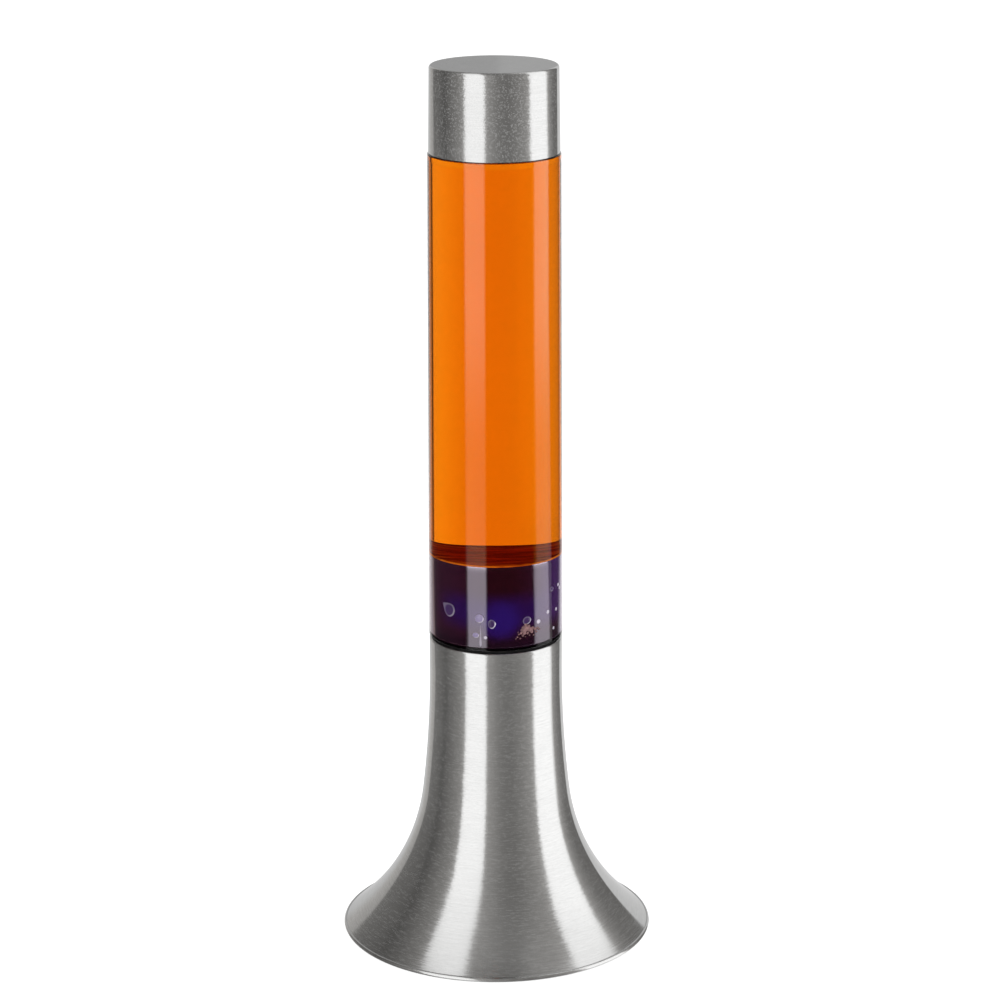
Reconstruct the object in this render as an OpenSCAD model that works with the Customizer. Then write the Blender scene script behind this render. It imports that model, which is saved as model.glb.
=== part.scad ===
// Liquid motion lamp: trumpet base with a reflector bulb, liquid-filled glass and a lift-off cap.
// Millimetres, +Z up, front towards -Y, origin on the floor under the centre of the base.

/* [Base shell] */
// Height of the base from the floor to the top of its neck
base_h = 134; // [131:0.5:150]
// Diameter across the rolled rim
rim_d = 134.2; // [126:0.2:150]
// Outer diameter of the straight neck
neck_d = 56.6; // [55.6:0.2:60]
// Sheet thickness of the spun shell
shell_wall = 1.2; // [1:0.1:1.4]
// Length of the straight part of the neck
neck_straight = 20.6; // [14:0.2:26]
// Radius of the gentle curve under the neck
flare_gentle_r = 330; // [290:5:370]
// Lean from the vertical where the gentle curve meets the tight one
flare_turn = 10.2; // [9:0.2:11.4]
// Radius of the rolled bead at the rim
bead_r = 1; // [0.8:0.1:1.3]
// Gap between the rolled rim and the floor
rim_gap = 0.7; // [0.4:0.1:1.2]
// Width of the inward lip at the top of the neck
lip_w = 2.5; // [2.2:0.1:2.9]
// Outer radius of the bend from the neck into the lip
lip_bend_r = 1.6; // [1.5:0.1:2]

/* [Base plate and feet] */
// Sheet thickness of the base plate
plate_t = 1.2; // [1:0.1:1.6]
// Number of cooling slots in the base plate
vent_count = 6; // [4:1:8]
// Width of each cooling slot
vent_w = 5; // [3:0.5:7]
// Distance of the inner slot ends from the centre
vent_in_r = 18; // [15:0.5:22]
// Length of each cooling slot over its round ends
vent_len = 20; // [12:0.5:22]
// Height of the rubber feet
foot_h = 6; // [5.5:0.1:7]
// Diameter of each foot where it meets the plate
foot_d = 12; // [8:0.5:14]
// Distance of the feet from the centre
foot_r = 48; // [46:0.5:49]

/* [Cradle] */
// Sheet thickness of the cradle's ring and legs
cradle_t = 0.8; // [0.6:0.1:1]
// Width of the cradle's ring
cradle_ring_w = 1.8; // [1.5:0.1:2]
// Width of each cradle leg
leg_w = 9; // [6:0.5:12]
// Height of the hub's underside above the floor
hub_z = 18; // [17.4:0.1:19]
// How much thicker the hub is than the legs
hub_extra = 0.2; // [0.1:0.1:0.6]
// Diameter of the hub
hub_d = 24; // [20:0.5:28]
// Thickness of the black seat gasket
gasket_t = 0.6; // [0.5:0.1:1]
// Width of the gasket's outer skirt
gasket_skirt_w = 0.8; // [0.6:0.1:1]

/* [Threaded tube and nuts] */
// Thread diameter of the tube
tube_d = 10; // [9.6:0.1:10.4]
// Bore of the tube
tube_bore_d = 8; // [7:0.1:8.4]
// Width across the flats of the nuts
nut_af = 14; // [13:0.5:16]
// Thickness of the nuts
nut_t = 3; // [2.5:0.1:3.2]
// Thickness of the toothed lock washers
washer_t = 0.8; // [0.6:0.1:1]
// Outer diameter of the toothed lock washers
washer_d = 16; // [14:0.5:18]
// Length of tube standing below the lower nut
tube_tail = 0.7; // [0.4:0.1:1]
// Diameter of the side hole that lets the lead into the tube
side_hole_d = 6; // [4:0.2:6.4]

/* [Cord inlet] */
// Bore of the cord bush
cord_bore_d = 6.2; // [5:0.1:6.6]
// Diameter of the bush where it passes the shell
bush_d = 9.2; // [8.6:0.1:9.6]
// Diameter of the bush's outer collar
collar_d = 11.4; // [10.6:0.2:12]
// Height of the bush's axis above the floor
bush_z = 14; // [13.6:0.1:16]
// Length of the bush outside the middle of the shell's wall
bush_proud = 8.3; // [7.5:0.1:9.5]
// Length of the bush inside the middle of the shell's wall
bush_tail = 9.7; // [9:0.1:11.5]

/* [Lamp holder] */
// Outer diameter of the lamp holder
holder_d = 28; // [27:0.2:30]
// Height of the holder's lower cap
holder_cap_h = 12; // [11.5:0.1:13]
// Solid floor of the lower cap that the tube screws into
holder_floor = 8; // [7:0.1:8.4]
// Wall of the lower cap
holder_cap_wall = 1.8; // [1.5:0.1:2]
// Wall of the upper skirt
holder_skirt_wall = 3; // [2.9:0.1:3.2]
// Diameter of the mouth at the top of the skirt
holder_mouth_d = 19.2; // [18.6:0.1:20]
// Height of the insulating insert
insert_h = 9.5; // [9:0.1:10]
// Height of the contact tongue above the insert
tongue_h = 3; // [2.5:0.1:3.2]

/* [Bulb] */
// Length of the bulb from its contact to its crown
bulb_len = 66; // [62:0.5:67]
// Greatest diameter of the reflector envelope
bulb_d = 39; // [36:0.5:40]
// Diameter of the envelope's neck
bulb_neck_d = 16.4; // [15.8:0.1:16.6]
// Glass thickness of the envelope
bulb_wall = 0.8; // [0.6:0.1:1]
// Pitch of the Edison screw
screw_pitch = 2.822; // [2.6:0.002:3]
// Outer diameter of the bulb's screw
screw_d = 13.89; // [13.7:0.01:14.1]
// Depth of the rolled screw
screw_depth = 0.8; // [0.7:0.05:0.9]
// Sheet thickness of the rolled screws
screw_wall = 0.5; // [0.4:0.05:0.55]
// Clearance between the bulb's screw and the holder's screw
screw_gap = 0.3; // [0.25:0.05:0.35]

/* [Glass vessel] */
// Outer diameter of the glass
glass_d = 56.8; // [56.4:0.2:60]
// Height of the glass from its seat to the ledge under the cap
glass_h = 209; // [150:1:260]
// Wall of the glass
glass_wall = 2.6; // [2.2:0.1:3]
// Depth of the heel that drops into the base
heel_h = 6.4; // [5:0.1:7]
// Thickness of the glass floor
glass_floor = 3.4; // [3:0.1:4]
// Rounding of the glass above its seat
seat_round = 2; // [1:0.1:2.2]
// Rounding of the ledge under the cap
ledge_round = 1.2; // [0.5:0.1:1.3]
// Outer diameter of the vessel's mouth
mouth_d = 26.6; // [26:0.1:28]
// Wall of the vessel's neck at the mouth
mouth_wall = 2.8; // [2.4:0.1:3]
// Height of the wax above the seat of the glass
wax_h = 37; // [25:1:60]
// Air space under the mouth
air_gap = 8; // [6:0.5:10]
// Clearance between the glass and what it holds
fill_gap = 0.15; // [0.12:0.01:0.25]

/* [Heat coil] */
// Number of curls in the coil
coil_curls = 34; // [24:1:36]
// Radius of the ring that the coil lies in
coil_ring_r = 15.4; // [15:0.1:15.8]
// Radius of each curl to the middle of the wire
coil_curl_r = 2.2; // [1.8:0.1:2.3]
// Diameter of the coil wire
coil_wire_d = 0.9; // [0.7:0.1:1]

/* [Closure and cap] */
// Thickness of the crown closure's liner
crown_liner_t = 1; // [0.8:0.1:1.4]
// Sheet thickness of the crown closure's top
crown_t = 0.5; // [0.4:0.1:0.6]
// Height of the crown's fluted skirt
crown_skirt = 5.5; // [5:0.1:6]
// Number of flutes on the crown
crown_flutes = 21; // [18:1:24]
// Outer diameter of the cap
cap_d = 55; // [54:0.2:55.6]
// Height of the cap
cap_h = 36.6; // [35:0.2:44]
// Sheet thickness of the cap
cap_wall = 0.9; // [0.8:0.1:1.2]
// Rounding of the cap's top edge
cap_edge_r = 1.3; // [1.2:0.1:2]
// Thickness of the disc inside the cap
liner_t = 2; // [1.5:0.1:2.5]

/* [Hidden] */
$fn = 96;
eps = 0.5;
touch = 0.05;
slip = 0.3;

neck_r = neck_d / 2;
neck_mid_r = neck_r - shell_wall / 2;
flare_top_z = base_h - neck_straight;
bead_c_r = rim_d / 2 - bead_r;
bead_c_z = rim_gap + bead_r;
gentle_c = [neck_mid_r + flare_gentle_r, flare_top_z];
turn_r = gentle_c[0] - flare_gentle_r * cos(flare_turn);
turn_z = gentle_c[1] - flare_gentle_r * sin(flare_turn);
run_r = bead_c_r - turn_r;
run_z = bead_c_z - turn_z;
flare_tight_r = (run_r * run_r + run_z * run_z) / (2 * (run_r * cos(flare_turn) + run_z * sin(flare_turn)));
tight_c = [turn_r + flare_tight_r * cos(flare_turn), turn_z + flare_tight_r * sin(flare_turn)];
flare_end = asin((tight_c[1] - bead_c_z) / flare_tight_r);
lip_in_r = neck_r - lip_w;
weld_w = 0.8 * shell_wall;
weld_turn = 0.3;
bush_shell_r = tight_c[0] - sqrt(flare_tight_r * flare_tight_r - (tight_c[1] - bush_z) * (tight_c[1] - bush_z));
bush_end = bush_shell_r + bush_proud;
bush_in = bush_shell_r - bush_tail;

hub_t = cradle_t + hub_extra;
leg_gap = 0.1;
leg_out_x = sqrt((lip_in_r - leg_gap) * (lip_in_r - leg_gap) - leg_w * leg_w / 4);
leg_in_x = leg_out_x - cradle_t;
cradle_in_r = leg_in_x + slip;
cradle_ring_r = cradle_in_r + cradle_ring_w;
seat_z = base_h + cradle_t + gasket_t;
gasket_in_r = cradle_in_r - 0.4;
gasket_out_r = cradle_ring_r + gasket_skirt_w;

tube_r = tube_d / 2;
thread_hole_r = tube_r + touch;
pass_hole_r = tube_r + 0.15;
plate_top_z = foot_h + plate_t;
low_washer_z = foot_h - washer_t;
low_nut_z = low_washer_z - nut_t;
tube_z0 = low_nut_z - tube_tail;
high_washer_z = hub_z + hub_t;
high_nut_z = high_washer_z + washer_t;
holder_z = high_nut_z + nut_t;
tube_z1 = holder_z + holder_floor - 0.5;
side_hole_z = (plate_top_z + hub_z) / 2;

holder_r = holder_d / 2;
holder_cup_r = holder_r - holder_cap_wall;
skirt_z = holder_z + holder_cap_h;
skirt_in_r = holder_r - holder_skirt_wall;
spigot_r = holder_cup_r - touch;
spigot_z = holder_z + holder_floor + 0.3;
insert_z = spigot_z + 2.5;
insert_r = skirt_in_r - touch;
insert_top = insert_z + insert_h;
contact_z = insert_top + tongue_h;

screw_mean = (screw_d - screw_depth) / 2;
screw_amp = screw_depth / 2;
insulator_z = contact_z + 0.8;
screw_z0 = insulator_z + 2.4;
thread_z0 = screw_z0 + 0.8;
thread_z1 = thread_z0 + 4 * screw_pitch;
bulb_flare_z = thread_z1 + 0.8;
bulb_skirt_r = bulb_neck_d / 2 + 0.2 + screw_wall;
bulb_skirt_z = bulb_flare_z + 1.6;
bulb_neck_z = bulb_skirt_z + 0.6;
bulb_shell_top = bulb_skirt_z + 3.2;
skirt_top = bulb_shell_top + 1.4;
skirt_flange_z = skirt_top - 2.5;
bulb_neck_top = skirt_top + 1.2;
bulb_r = bulb_d / 2;
bulb_mid_z = contact_z + bulb_len - bulb_r;
socket_thread_z1 = thread_z1 - 0.6;
socket_mean = screw_mean + screw_gap;
cone_d = norm([bulb_neck_d / 2, bulb_mid_z - bulb_neck_top]);
cone_lean = asin(bulb_r / cone_d) - atan2(bulb_neck_d / 2, bulb_mid_z - bulb_neck_top);
cone_top_r = bulb_r * cos(cone_lean);
cone_top_z = bulb_mid_z - bulb_r * sin(cone_lean);
stem_top = bulb_neck_top + 12;
filament_z = bulb_mid_z - 1;
lead_foot = 1.2;
lead_top = 5.5;
lead_z = stem_top + 1;
lead_lean = atan2(lead_top - lead_foot, filament_z - lead_z);

glass_r = glass_d / 2;
body_in_r = glass_r - glass_wall;
heel_r = leg_in_x - 0.5;
heel_in_r = heel_r - glass_wall;
heel_z = seat_z - heel_h;
floor_z = heel_z + glass_floor;
ledge_z = seat_z + glass_h;
cap_r = cap_d / 2;
cap_in_r = cap_r - cap_wall;
mouth_r = mouth_d / 2;
bore_r = mouth_r - mouth_wall;
throat_r = mouth_r - 1;
shoulder_r = cap_in_r - 0.9;
dome_out_r = shoulder_r - bore_r;
dome_in_r = dome_out_r - glass_wall;
taper_in_r = bore_r + dome_in_r;
taper_z = ledge_z - (body_in_r - taper_in_r) - 0.3;
cap_top_z = ledge_z + cap_h;
cap_in_top = cap_top_z - cap_wall;
lip_z = cap_in_top - liner_t - 1 - crown_t - crown_liner_t - 1.8;
crown_z = lip_z + crown_liner_t;
crown_mid_r = mouth_r + 1.15;
crown_wave = 0.55;
hub_in_r = crown_mid_r + crown_wave + 1;
fill_z = lip_z - air_gap;
wax_z = seat_z + wax_h;
coil_wire_r = coil_wire_d / 2;
coil_tunnel_r = coil_curl_r + coil_wire_r + 0.35;
coil_z = floor_z + coil_tunnel_r + 0.8;

// Band of sheet along an arc about c, from angle a0 to a1
module band(c, r, w, a0, a1) {
    reach = (r + w) / cos((a1 - a0) / 2) + 1;
    translate(c)
        intersection() {
            difference() {
                circle(r + w / 2);
                circle(r - w / 2);
            }
            polygon([[0, 0], [reach * cos(a0), reach * sin(a0)], [reach * cos(a1), reach * sin(a1)]]);
        }
}

// Half section from the axis out to r, with its outer corners rounded
module post(r, z0, z1, low = 0, high = 0) {
    translate([0, z0 + low])
        square([r, z1 - z0 - low - high]);
    if (low > 0) {
        translate([0, z0])
            square([r - low, low + touch]);
        translate([r - low, z0 + low])
            circle(low);
    }
    if (high > 0) {
        translate([0, z1 - high - touch])
            square([r - high, high + touch]);
        translate([r - high, z1 - high])
            circle(high);
    }
}

// Half section of a plain ring
module ring_2d(r0, r1, z0, z1) {
    translate([r0, z0])
        square([r1 - r0, z1 - z0]);
}

module ring(r0, r1, z0, z1) {
    rotate_extrude()
        ring_2d(r0, r1, z0, z1);
}

// Closed tube lofted from an outer and an inner grid of radii
module loft_tube(zs, outer, inner, n) {
    m = len(zs);
    pts = concat(
        [for (i = [0:m - 1]) for (j = [0:n - 1])
            [outer[i][j] * cos(360 * j / n), outer[i][j] * sin(360 * j / n), zs[i]]],
        [for (i = [0:m - 1]) for (j = [0:n - 1])
            [inner[i][j] * cos(360 * j / n), inner[i][j] * sin(360 * j / n), zs[i]]]
    );
    k = m * n;
    skin = [for (i = [0:m - 2]) for (j = [0:n - 1]) let (a = i * n + j, b = i * n + (j + 1) % n)
        each [[a, b + n, b], [a, a + n, b + n], [k + a, k + b, k + b + n], [k + a, k + b + n, k + a + n]]];
    ends = [for (j = [0:n - 1]) let (b = (j + 1) % n, t = (m - 1) * n)
        each [[j, b, k + b], [j, k + b, k + j], [t + j, k + t + b, t + b], [t + j, k + t + j, k + t + b]]];
    polyhedron(pts, concat(skin, ends), convexity = 6);
}

module shell_2d() {
    band([neck_r - lip_bend_r, base_h - lip_bend_r], lip_bend_r - shell_wall / 2, shell_wall, 0, 90);
    ring_2d(lip_in_r, neck_r - lip_bend_r, base_h - shell_wall, base_h);
    ring_2d(neck_r - shell_wall, neck_r, flare_top_z, base_h - lip_bend_r);
    band(gentle_c, flare_gentle_r, shell_wall, 180, 180 + flare_turn);
    band(tight_c, flare_tight_r, shell_wall, 180 + flare_turn, 180 + flare_end);
    // Inside the wall, one length of sheet runs on past each end of the gentle curve
    band(gentle_c, flare_gentle_r, weld_w, 180 + flare_turn - weld_turn, 180 + flare_turn + weld_turn);
    band(gentle_c, flare_gentle_r, weld_w, 180 - weld_turn, 180 + weld_turn);
    translate([bead_c_r, bead_c_z])
        circle(bead_r);
}

module base_shell() {
    color("silver")
        difference() {
            rotate_extrude()
                shell_2d();
            translate([0, bush_in, bush_z])
                rotate([-90, 0, 0])
                    cylinder(h = bush_end - bush_in + 9, d = bush_d);
        }
}

// One cradle leg: a strap bent once, from inside the hub's thickness up into the ring's
module strap() {
    z = hub_z + hub_extra / 2;
    top = base_h + cradle_t / 2;
    rotate([90, 0, 0])
        linear_extrude(leg_w, center = true)
            polygon([
                [hub_d / 4, z], [leg_out_x, z], [leg_out_x, top],
                [leg_in_x, top], [leg_in_x, z + cradle_t], [hub_d / 4, z + cradle_t]
            ]);
}

module cradle() {
    color("dimgray") {
        ring(cradle_in_r, cradle_ring_r, base_h, base_h + cradle_t);
        ring(pass_hole_r, hub_d / 2, hub_z, hub_z + hub_t);
        for (a = [30, 150, 270])
            rotate(a)
                strap();
    }
}

module seat_ring() {
    color("black")
        rotate_extrude() {
            ring_2d(gasket_in_r, gasket_out_r, base_h + cradle_t, seat_z);
            ring_2d(cradle_ring_r, gasket_out_r, base_h, base_h + cradle_t);
        }
}

module vent() {
    translate([vent_in_r + vent_w / 2, -vent_w / 2, foot_h - 1])
        cube([vent_len - vent_w, vent_w, plate_t + 2]);
    for (x = [vent_in_r + vent_w / 2, vent_in_r + vent_len - vent_w / 2])
        translate([x, 0, foot_h - 1])
            cylinder(h = plate_t + 2, d = vent_w);
}

module base_plate() {
    color("dimgray")
        difference() {
            rotate_extrude()
                difference() {
                    ring_2d(pass_hole_r, bead_c_r, foot_h, plate_top_z);
                    translate(tight_c)
                        circle(flare_tight_r + shell_wall / 2 + 0.1);
                }
            for (i = [0:vent_count - 1])
                rotate(360 * i / vent_count)
                    vent();
        }
}

module feet() {
    color("black")
        for (a = [45, 135, 225, 315])
            rotate(a)
                translate([foot_r, 0, 0])
                    cylinder(h = foot_h, d1 = foot_d - 1.2, d2 = foot_d);
}

module threaded_tube() {
    color("silver")
        difference() {
            translate([0, 0, tube_z0])
                cylinder(h = tube_z1 - tube_z0, r = tube_r);
            translate([0, 0, tube_z0 - 1])
                cylinder(h = tube_z1 - tube_z0 + 2, d = tube_bore_d);
            translate([0, 0, side_hole_z])
                rotate([-90, 0, 0])
                    cylinder(h = tube_r + 1, d = side_hole_d);
        }
}

module tube_nuts() {
    color("silver")
        for (z = [low_nut_z, high_nut_z])
            translate([0, 0, z])
                linear_extrude(nut_t)
                    difference() {
                        circle(nut_af / sqrt(3), $fn = 6);
                        circle(thread_hole_r);
                    }
}

module lock_washers() {
    color("silver")
        for (z = [low_washer_z, high_washer_z])
            translate([0, 0, z])
                linear_extrude(washer_t)
                    difference() {
                        circle(washer_d / 2);
                        circle(pass_hole_r);
                        for (i = [0:11])
                            rotate(30 * i)
                                translate([washer_d / 2 - 1.2, -0.5])
                                    square([2, 1]);
                    }
}

module cord_bush() {
    color("black")
        difference() {
            union() {
                difference() {
                    translate([0, bush_in, bush_z])
                        rotate([-90, 0, 0])
                            cylinder(h = bush_end - bush_in, d = collar_d);
                    rotate_extrude()
                        difference() {
                            square([bead_c_r + 20, turn_z]);
                            translate(tight_c)
                                circle(flare_tight_r - shell_wall / 2);
                        }
                }
                translate([0, bush_in, bush_z])
                    rotate([-90, 0, 0])
                        cylinder(h = bush_end - bush_in, d = bush_d);
                translate([0, bush_in, bush_z])
                    rotate([-90, 0, 0])
                        cylinder(h = 1.2, d = bush_d + 1);
            }
            translate([0, bush_in - 1, bush_z])
                rotate([-90, 0, 0])
                    cylinder(h = bush_end - bush_in + 2, d = cord_bore_d);
        }
}

module holder_cap() {
    color("black")
        difference() {
            rotate_extrude()
                difference() {
                    post(holder_r, holder_z, skirt_z, low = 2.5);
                    ring_2d(0, thread_hole_r, holder_z - 1, skirt_z);
                    ring_2d(0, holder_cup_r, holder_z + holder_floor, skirt_z + 1);
                }
            translate([0, 0, holder_z + holder_floor / 2])
                rotate([0, 90, 0])
                    cylinder(h = holder_r + 1, d = 3);
        }
}

module holder_lock_screw() {
    color("silver")
        difference() {
            translate([tube_r + 0.6, 0, holder_z + holder_floor / 2])
                rotate([0, 90, 0])
                    cylinder(h = holder_r - tube_r - 1.4, d = 2.9);
            translate([holder_r - 1.8, -0.3, holder_z])
                cube([4, 0.6, holder_floor]);
        }
}

module holder_skirt() {
    color("black")
        rotate_extrude() {
            ring_2d(skirt_in_r, holder_r, skirt_z, skirt_top);
            ring_2d(holder_mouth_d / 2, skirt_in_r, skirt_flange_z, skirt_top);
            ring_2d(skirt_in_r, spigot_r, spigot_z, skirt_z);
        }
}

module holder_insert() {
    color("white")
        difference() {
            translate([0, 0, insert_z])
                cylinder(h = insert_h, r = insert_r);
            for (x = [-6.5, 6.5])
                translate([x, 0, insert_z - 1])
                    cylinder(h = 7.5, d = 3);
        }
}

module terminal_screws() {
    color("gold")
        for (x = [-6.5, 6.5])
            translate([x, 0, 0])
                difference() {
                    union() {
                        translate([0, 0, insert_z])
                            cylinder(h = 6, d = 2.9);
                        translate([0, 0, insert_z - 1.6])
                            cylinder(h = 1.6, d = 5.2);
                    }
                    translate([-4, -0.4, insert_z - 2])
                        cube([8, 0.8, 1]);
                }
}

function screw_wave(z, a) = cos(360 * z / screw_pitch - a);
function ease(z, z0, z1) = max(0, min(1, min(z - z0, z1 - z) / 0.9));

module holder_screw() {
    n = 20;
    rows = 24;
    zs = concat([insert_top, thread_z0 - 0.6],
        [for (i = [0:rows]) thread_z0 + (socket_thread_z1 - thread_z0) * i / rows]);
    inner = [for (z = zs) [for (j = [0:n - 1]) let (k = ease(z, thread_z0, socket_thread_z1))
        socket_mean + screw_amp * (k * screw_wave(z, 360 * j / n) + 1 - k)]];
    outer = [for (row = inner) [for (r = row) r + screw_wall]];
    color("gold")
        loft_tube(zs, outer, inner, n);
}

module holder_contact() {
    color("gold") {
        translate([-2.5, -4.6, insert_top])
            cube([5, 9, 0.6]);
        translate([-2.5, -4.6, insert_top])
            cube([5, 0.6, tongue_h]);
        translate([-2.5, -4.6, contact_z - 0.6])
            cube([5, 8, 0.6]);
    }
}

module bulb_contact() {
    color("silver")
        translate([0, 0, contact_z])
            cylinder(h = insulator_z - contact_z, r = 2.4);
}

module bulb_insulator() {
    color("black")
        translate([0, 0, insulator_z])
            cylinder(h = screw_z0 - insulator_z, r1 = 3.2, r2 = 5.4);
}

module bulb_screw() {
    n = 20;
    rows = 24;
    zs = concat([screw_z0],
        [for (i = [0:rows]) thread_z0 + (thread_z1 - thread_z0) * i / rows],
        [bulb_flare_z, bulb_skirt_z, bulb_shell_top]);
    outer = [for (z = zs) [for (j = [0:n - 1]) let (k = ease(z, thread_z0, thread_z1))
        z <= bulb_flare_z ? screw_mean + screw_amp * (k * screw_wave(z, 360 * j / n) + k - 1) : bulb_skirt_r]];
    inner = [for (row = outer) [for (r = row) r - screw_wall]];
    color("gold")
        loft_tube(zs, outer, inner, n);
}

// Half section of the bulb envelope, drawn in by g
module envelope_2d(g) {
    ring_2d(0, bulb_neck_d / 2 - g, bulb_neck_z - (g > 0 ? 1 : 0), bulb_neck_top + touch);
    polygon([
        [0, bulb_neck_top],
        [bulb_neck_d / 2 - g, bulb_neck_top],
        [cone_top_r - g * cos(cone_lean), cone_top_z + g * sin(cone_lean)],
        [0, cone_top_z + g * sin(cone_lean)]
    ]);
    intersection() {
        translate([0, bulb_mid_z])
            circle(bulb_r - g);
        translate([0, cone_top_z + g * sin(cone_lean)])
            square([bulb_r + 1, 2 * bulb_r]);
    }
}

module bulb_glass() {
    color("white")
        rotate_extrude()
            difference() {
                envelope_2d(0);
                envelope_2d(bulb_wall);
            }
}

module bulb_stem() {
    color("white")
        rotate_extrude() {
            ring_2d(0, bulb_neck_d / 2 - bulb_wall - 0.1, bulb_neck_z, bulb_neck_z + 1.6);
            post(2.6, bulb_neck_z + 1.6, stem_top, high = 0.8);
        }
}

module bulb_filament() {
    color("gray") {
        for (s = [-1, 1]) {
            translate([lead_foot * s, 0, stem_top])
                cylinder(h = lead_z - stem_top, r = 0.35);
            translate([lead_foot * s, 0, lead_z])
                sphere(r = 0.4);
            translate([lead_foot * s, 0, lead_z])
                rotate([0, lead_lean * s, 0])
                    cylinder(h = norm([lead_top - lead_foot, filament_z - lead_z]), r = 0.35);
        }
        translate([-lead_top - 0.8, 0, filament_z])
            rotate([0, 90, 0])
                cylinder(h = 2 * lead_top + 1.6, r = 0.5);
    }
}

module vessel_outer_2d() {
    post(heel_r, heel_z, seat_z + eps, low = 2);
    post(glass_r, seat_z, ledge_z, low = seat_round, high = ledge_round);
    intersection() {
        translate([bore_r, ledge_z])
            circle(dome_out_r);
        translate([0, ledge_z - eps])
            square([shoulder_r + 1, dome_out_r + 1]);
    }
    post(throat_r, ledge_z - eps, lip_z - 3);
    post(mouth_r, lip_z - 6, lip_z, low = 0.9, high = 0.9);
}

module vessel_inner_2d(g) {
    post(heel_in_r - g, floor_z + g, seat_z + glass_wall + eps, low = 1.5);
    post(body_in_r - g, seat_z + glass_wall + g, taper_z, low = 1.6);
    polygon([
        [0, taper_z - touch],
        [body_in_r - g, taper_z - touch],
        [body_in_r - g, taper_z],
        [taper_in_r - g, taper_z + body_in_r - taper_in_r],
        [0, taper_z + body_in_r - taper_in_r]
    ]);
    ring_2d(0, taper_in_r - g, taper_z + body_in_r - taper_in_r - touch, ledge_z);
    intersection() {
        translate([bore_r, ledge_z])
            circle(dome_in_r - g);
        translate([0, ledge_z - eps])
            square([taper_in_r + 1, dome_in_r + 1]);
    }
    ring_2d(0, bore_r - g, ledge_z - eps, lip_z + 1);
}

module glass_vessel() {
    color("white", 0.4)
        rotate_extrude()
            difference() {
                vessel_outer_2d();
                vessel_inner_2d(0);
            }
}

module carrier_liquid() {
    color("orange", 0.6)
        rotate_extrude()
            intersection() {
                vessel_inner_2d(fill_gap);
                ring_2d(0, glass_r, wax_z, fill_z);
            }
}

module wax() {
    color("indigo")
        rotate_extrude()
            difference() {
                intersection() {
                    vessel_inner_2d(fill_gap);
                    ring_2d(0, glass_r, heel_z, wax_z);
                }
                translate([coil_ring_r, coil_z])
                    circle(coil_tunnel_r);
            }
}

coil_rings = coil_curls * 8;
coil_span = 348;
function coil_phi(i) = 6 + coil_span * i / coil_rings;
function coil_psi(i) = 45 * i;
function coil_at(i) = let (q = coil_ring_r + coil_curl_r * cos(coil_psi(i)))
    [q * cos(coil_phi(i)), q * sin(coil_phi(i)), coil_z + coil_curl_r * sin(coil_psi(i))];
function unit(v) = v / norm(v);
function coil_out(i) = [cos(coil_psi(i)) * cos(coil_phi(i)), cos(coil_psi(i)) * sin(coil_phi(i)), sin(coil_psi(i))];
function coil_ring_pts(i) = let (
        d = unit(coil_at(i + 0.05) - coil_at(i - 0.05)),
        b = unit(cross(d, coil_out(i))),
        n = cross(b, d))
    [for (j = [0:5]) coil_at(i) + coil_wire_r * (cos(60 * j) * n + sin(60 * j) * b)];
coil_gap = min([for (i = [0:coil_rings - 5]) for (j = [i + 5:min(i + 14, coil_rings)])
    norm(coil_at(i) - coil_at(j))]) - coil_wire_d;

module heat_coil() {
    pts = [for (i = [0:coil_rings]) each coil_ring_pts(i)];
    last = coil_rings * 6;
    skin = [for (i = [0:coil_rings - 1]) for (j = [0:5]) let (a = 6 * i + j, b = 6 * i + (j + 1) % 6)
        each [[a, b, b + 6], [a, b + 6, a + 6]]];
    color("gray")
        polyhedron(pts, concat(skin, [[5, 4, 3, 2, 1, 0]], [[for (j = [0:5]) last + j]]), convexity = 10);
}

module crown_cap() {
    n = crown_flutes * 8;
    color("silver") {
        translate([0, 0, crown_z - crown_skirt])
            linear_extrude(crown_skirt)
                difference() {
                    polygon([for (i = [0:n - 1]) let (a = 360 * i / n, r = crown_mid_r + crown_wave * cos(45 * i))
                        [r * cos(a), r * sin(a)]]);
                    circle(mouth_r + 0.1);
                }
        translate([0, 0, crown_z])
            cylinder(h = crown_t, r = crown_mid_r - crown_wave);
    }
}

module crown_liner() {
    color("white")
        translate([0, 0, lip_z])
            cylinder(h = crown_liner_t, r = mouth_r - 0.2);
}

module cap_shell() {
    color("silver")
        rotate_extrude()
            difference() {
                post(cap_r, ledge_z, cap_top_z, high = cap_edge_r);
                post(cap_in_r, ledge_z - 1, cap_in_top, high = cap_edge_r - cap_wall + 0.1);
            }
}

module cap_liner() {
    color("black") {
        rotate_extrude() {
            post(cap_in_r - touch, cap_in_top - liner_t, cap_in_top, high = cap_edge_r - cap_wall + 0.1);
            ring_2d(hub_in_r, hub_in_r + 1.6, crown_z - crown_skirt - 1, cap_in_top - liner_t + touch);
        }
        for (i = [0:5])
            rotate(60 * i + 30)
                translate([hub_in_r + 1.2, -0.7, cap_in_top - liner_t - 3])
                    cube([cap_in_r - hub_in_r - 2.2, 1.4, 3 + touch]);
    }
}

base_shell();
cradle();
seat_ring();
base_plate();
feet();
threaded_tube();
tube_nuts();
lock_washers();
cord_bush();
holder_cap();
holder_lock_screw();
holder_skirt();
holder_insert();
holder_screw();
holder_contact();
terminal_screws();
bulb_contact();
bulb_insulator();
bulb_screw();
bulb_glass();
bulb_stem();
bulb_filament();
glass_vessel();
crown_cap();
crown_liner();
carrier_liquid();
wax();
heat_coil();
cap_shell();
cap_liner();

echo(least_coil_gap = coil_gap);
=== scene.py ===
"""Dresses the liquid motion lamp: spun metal, clear glass, orange liquid, settled wax and a white studio."""
import math

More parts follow.
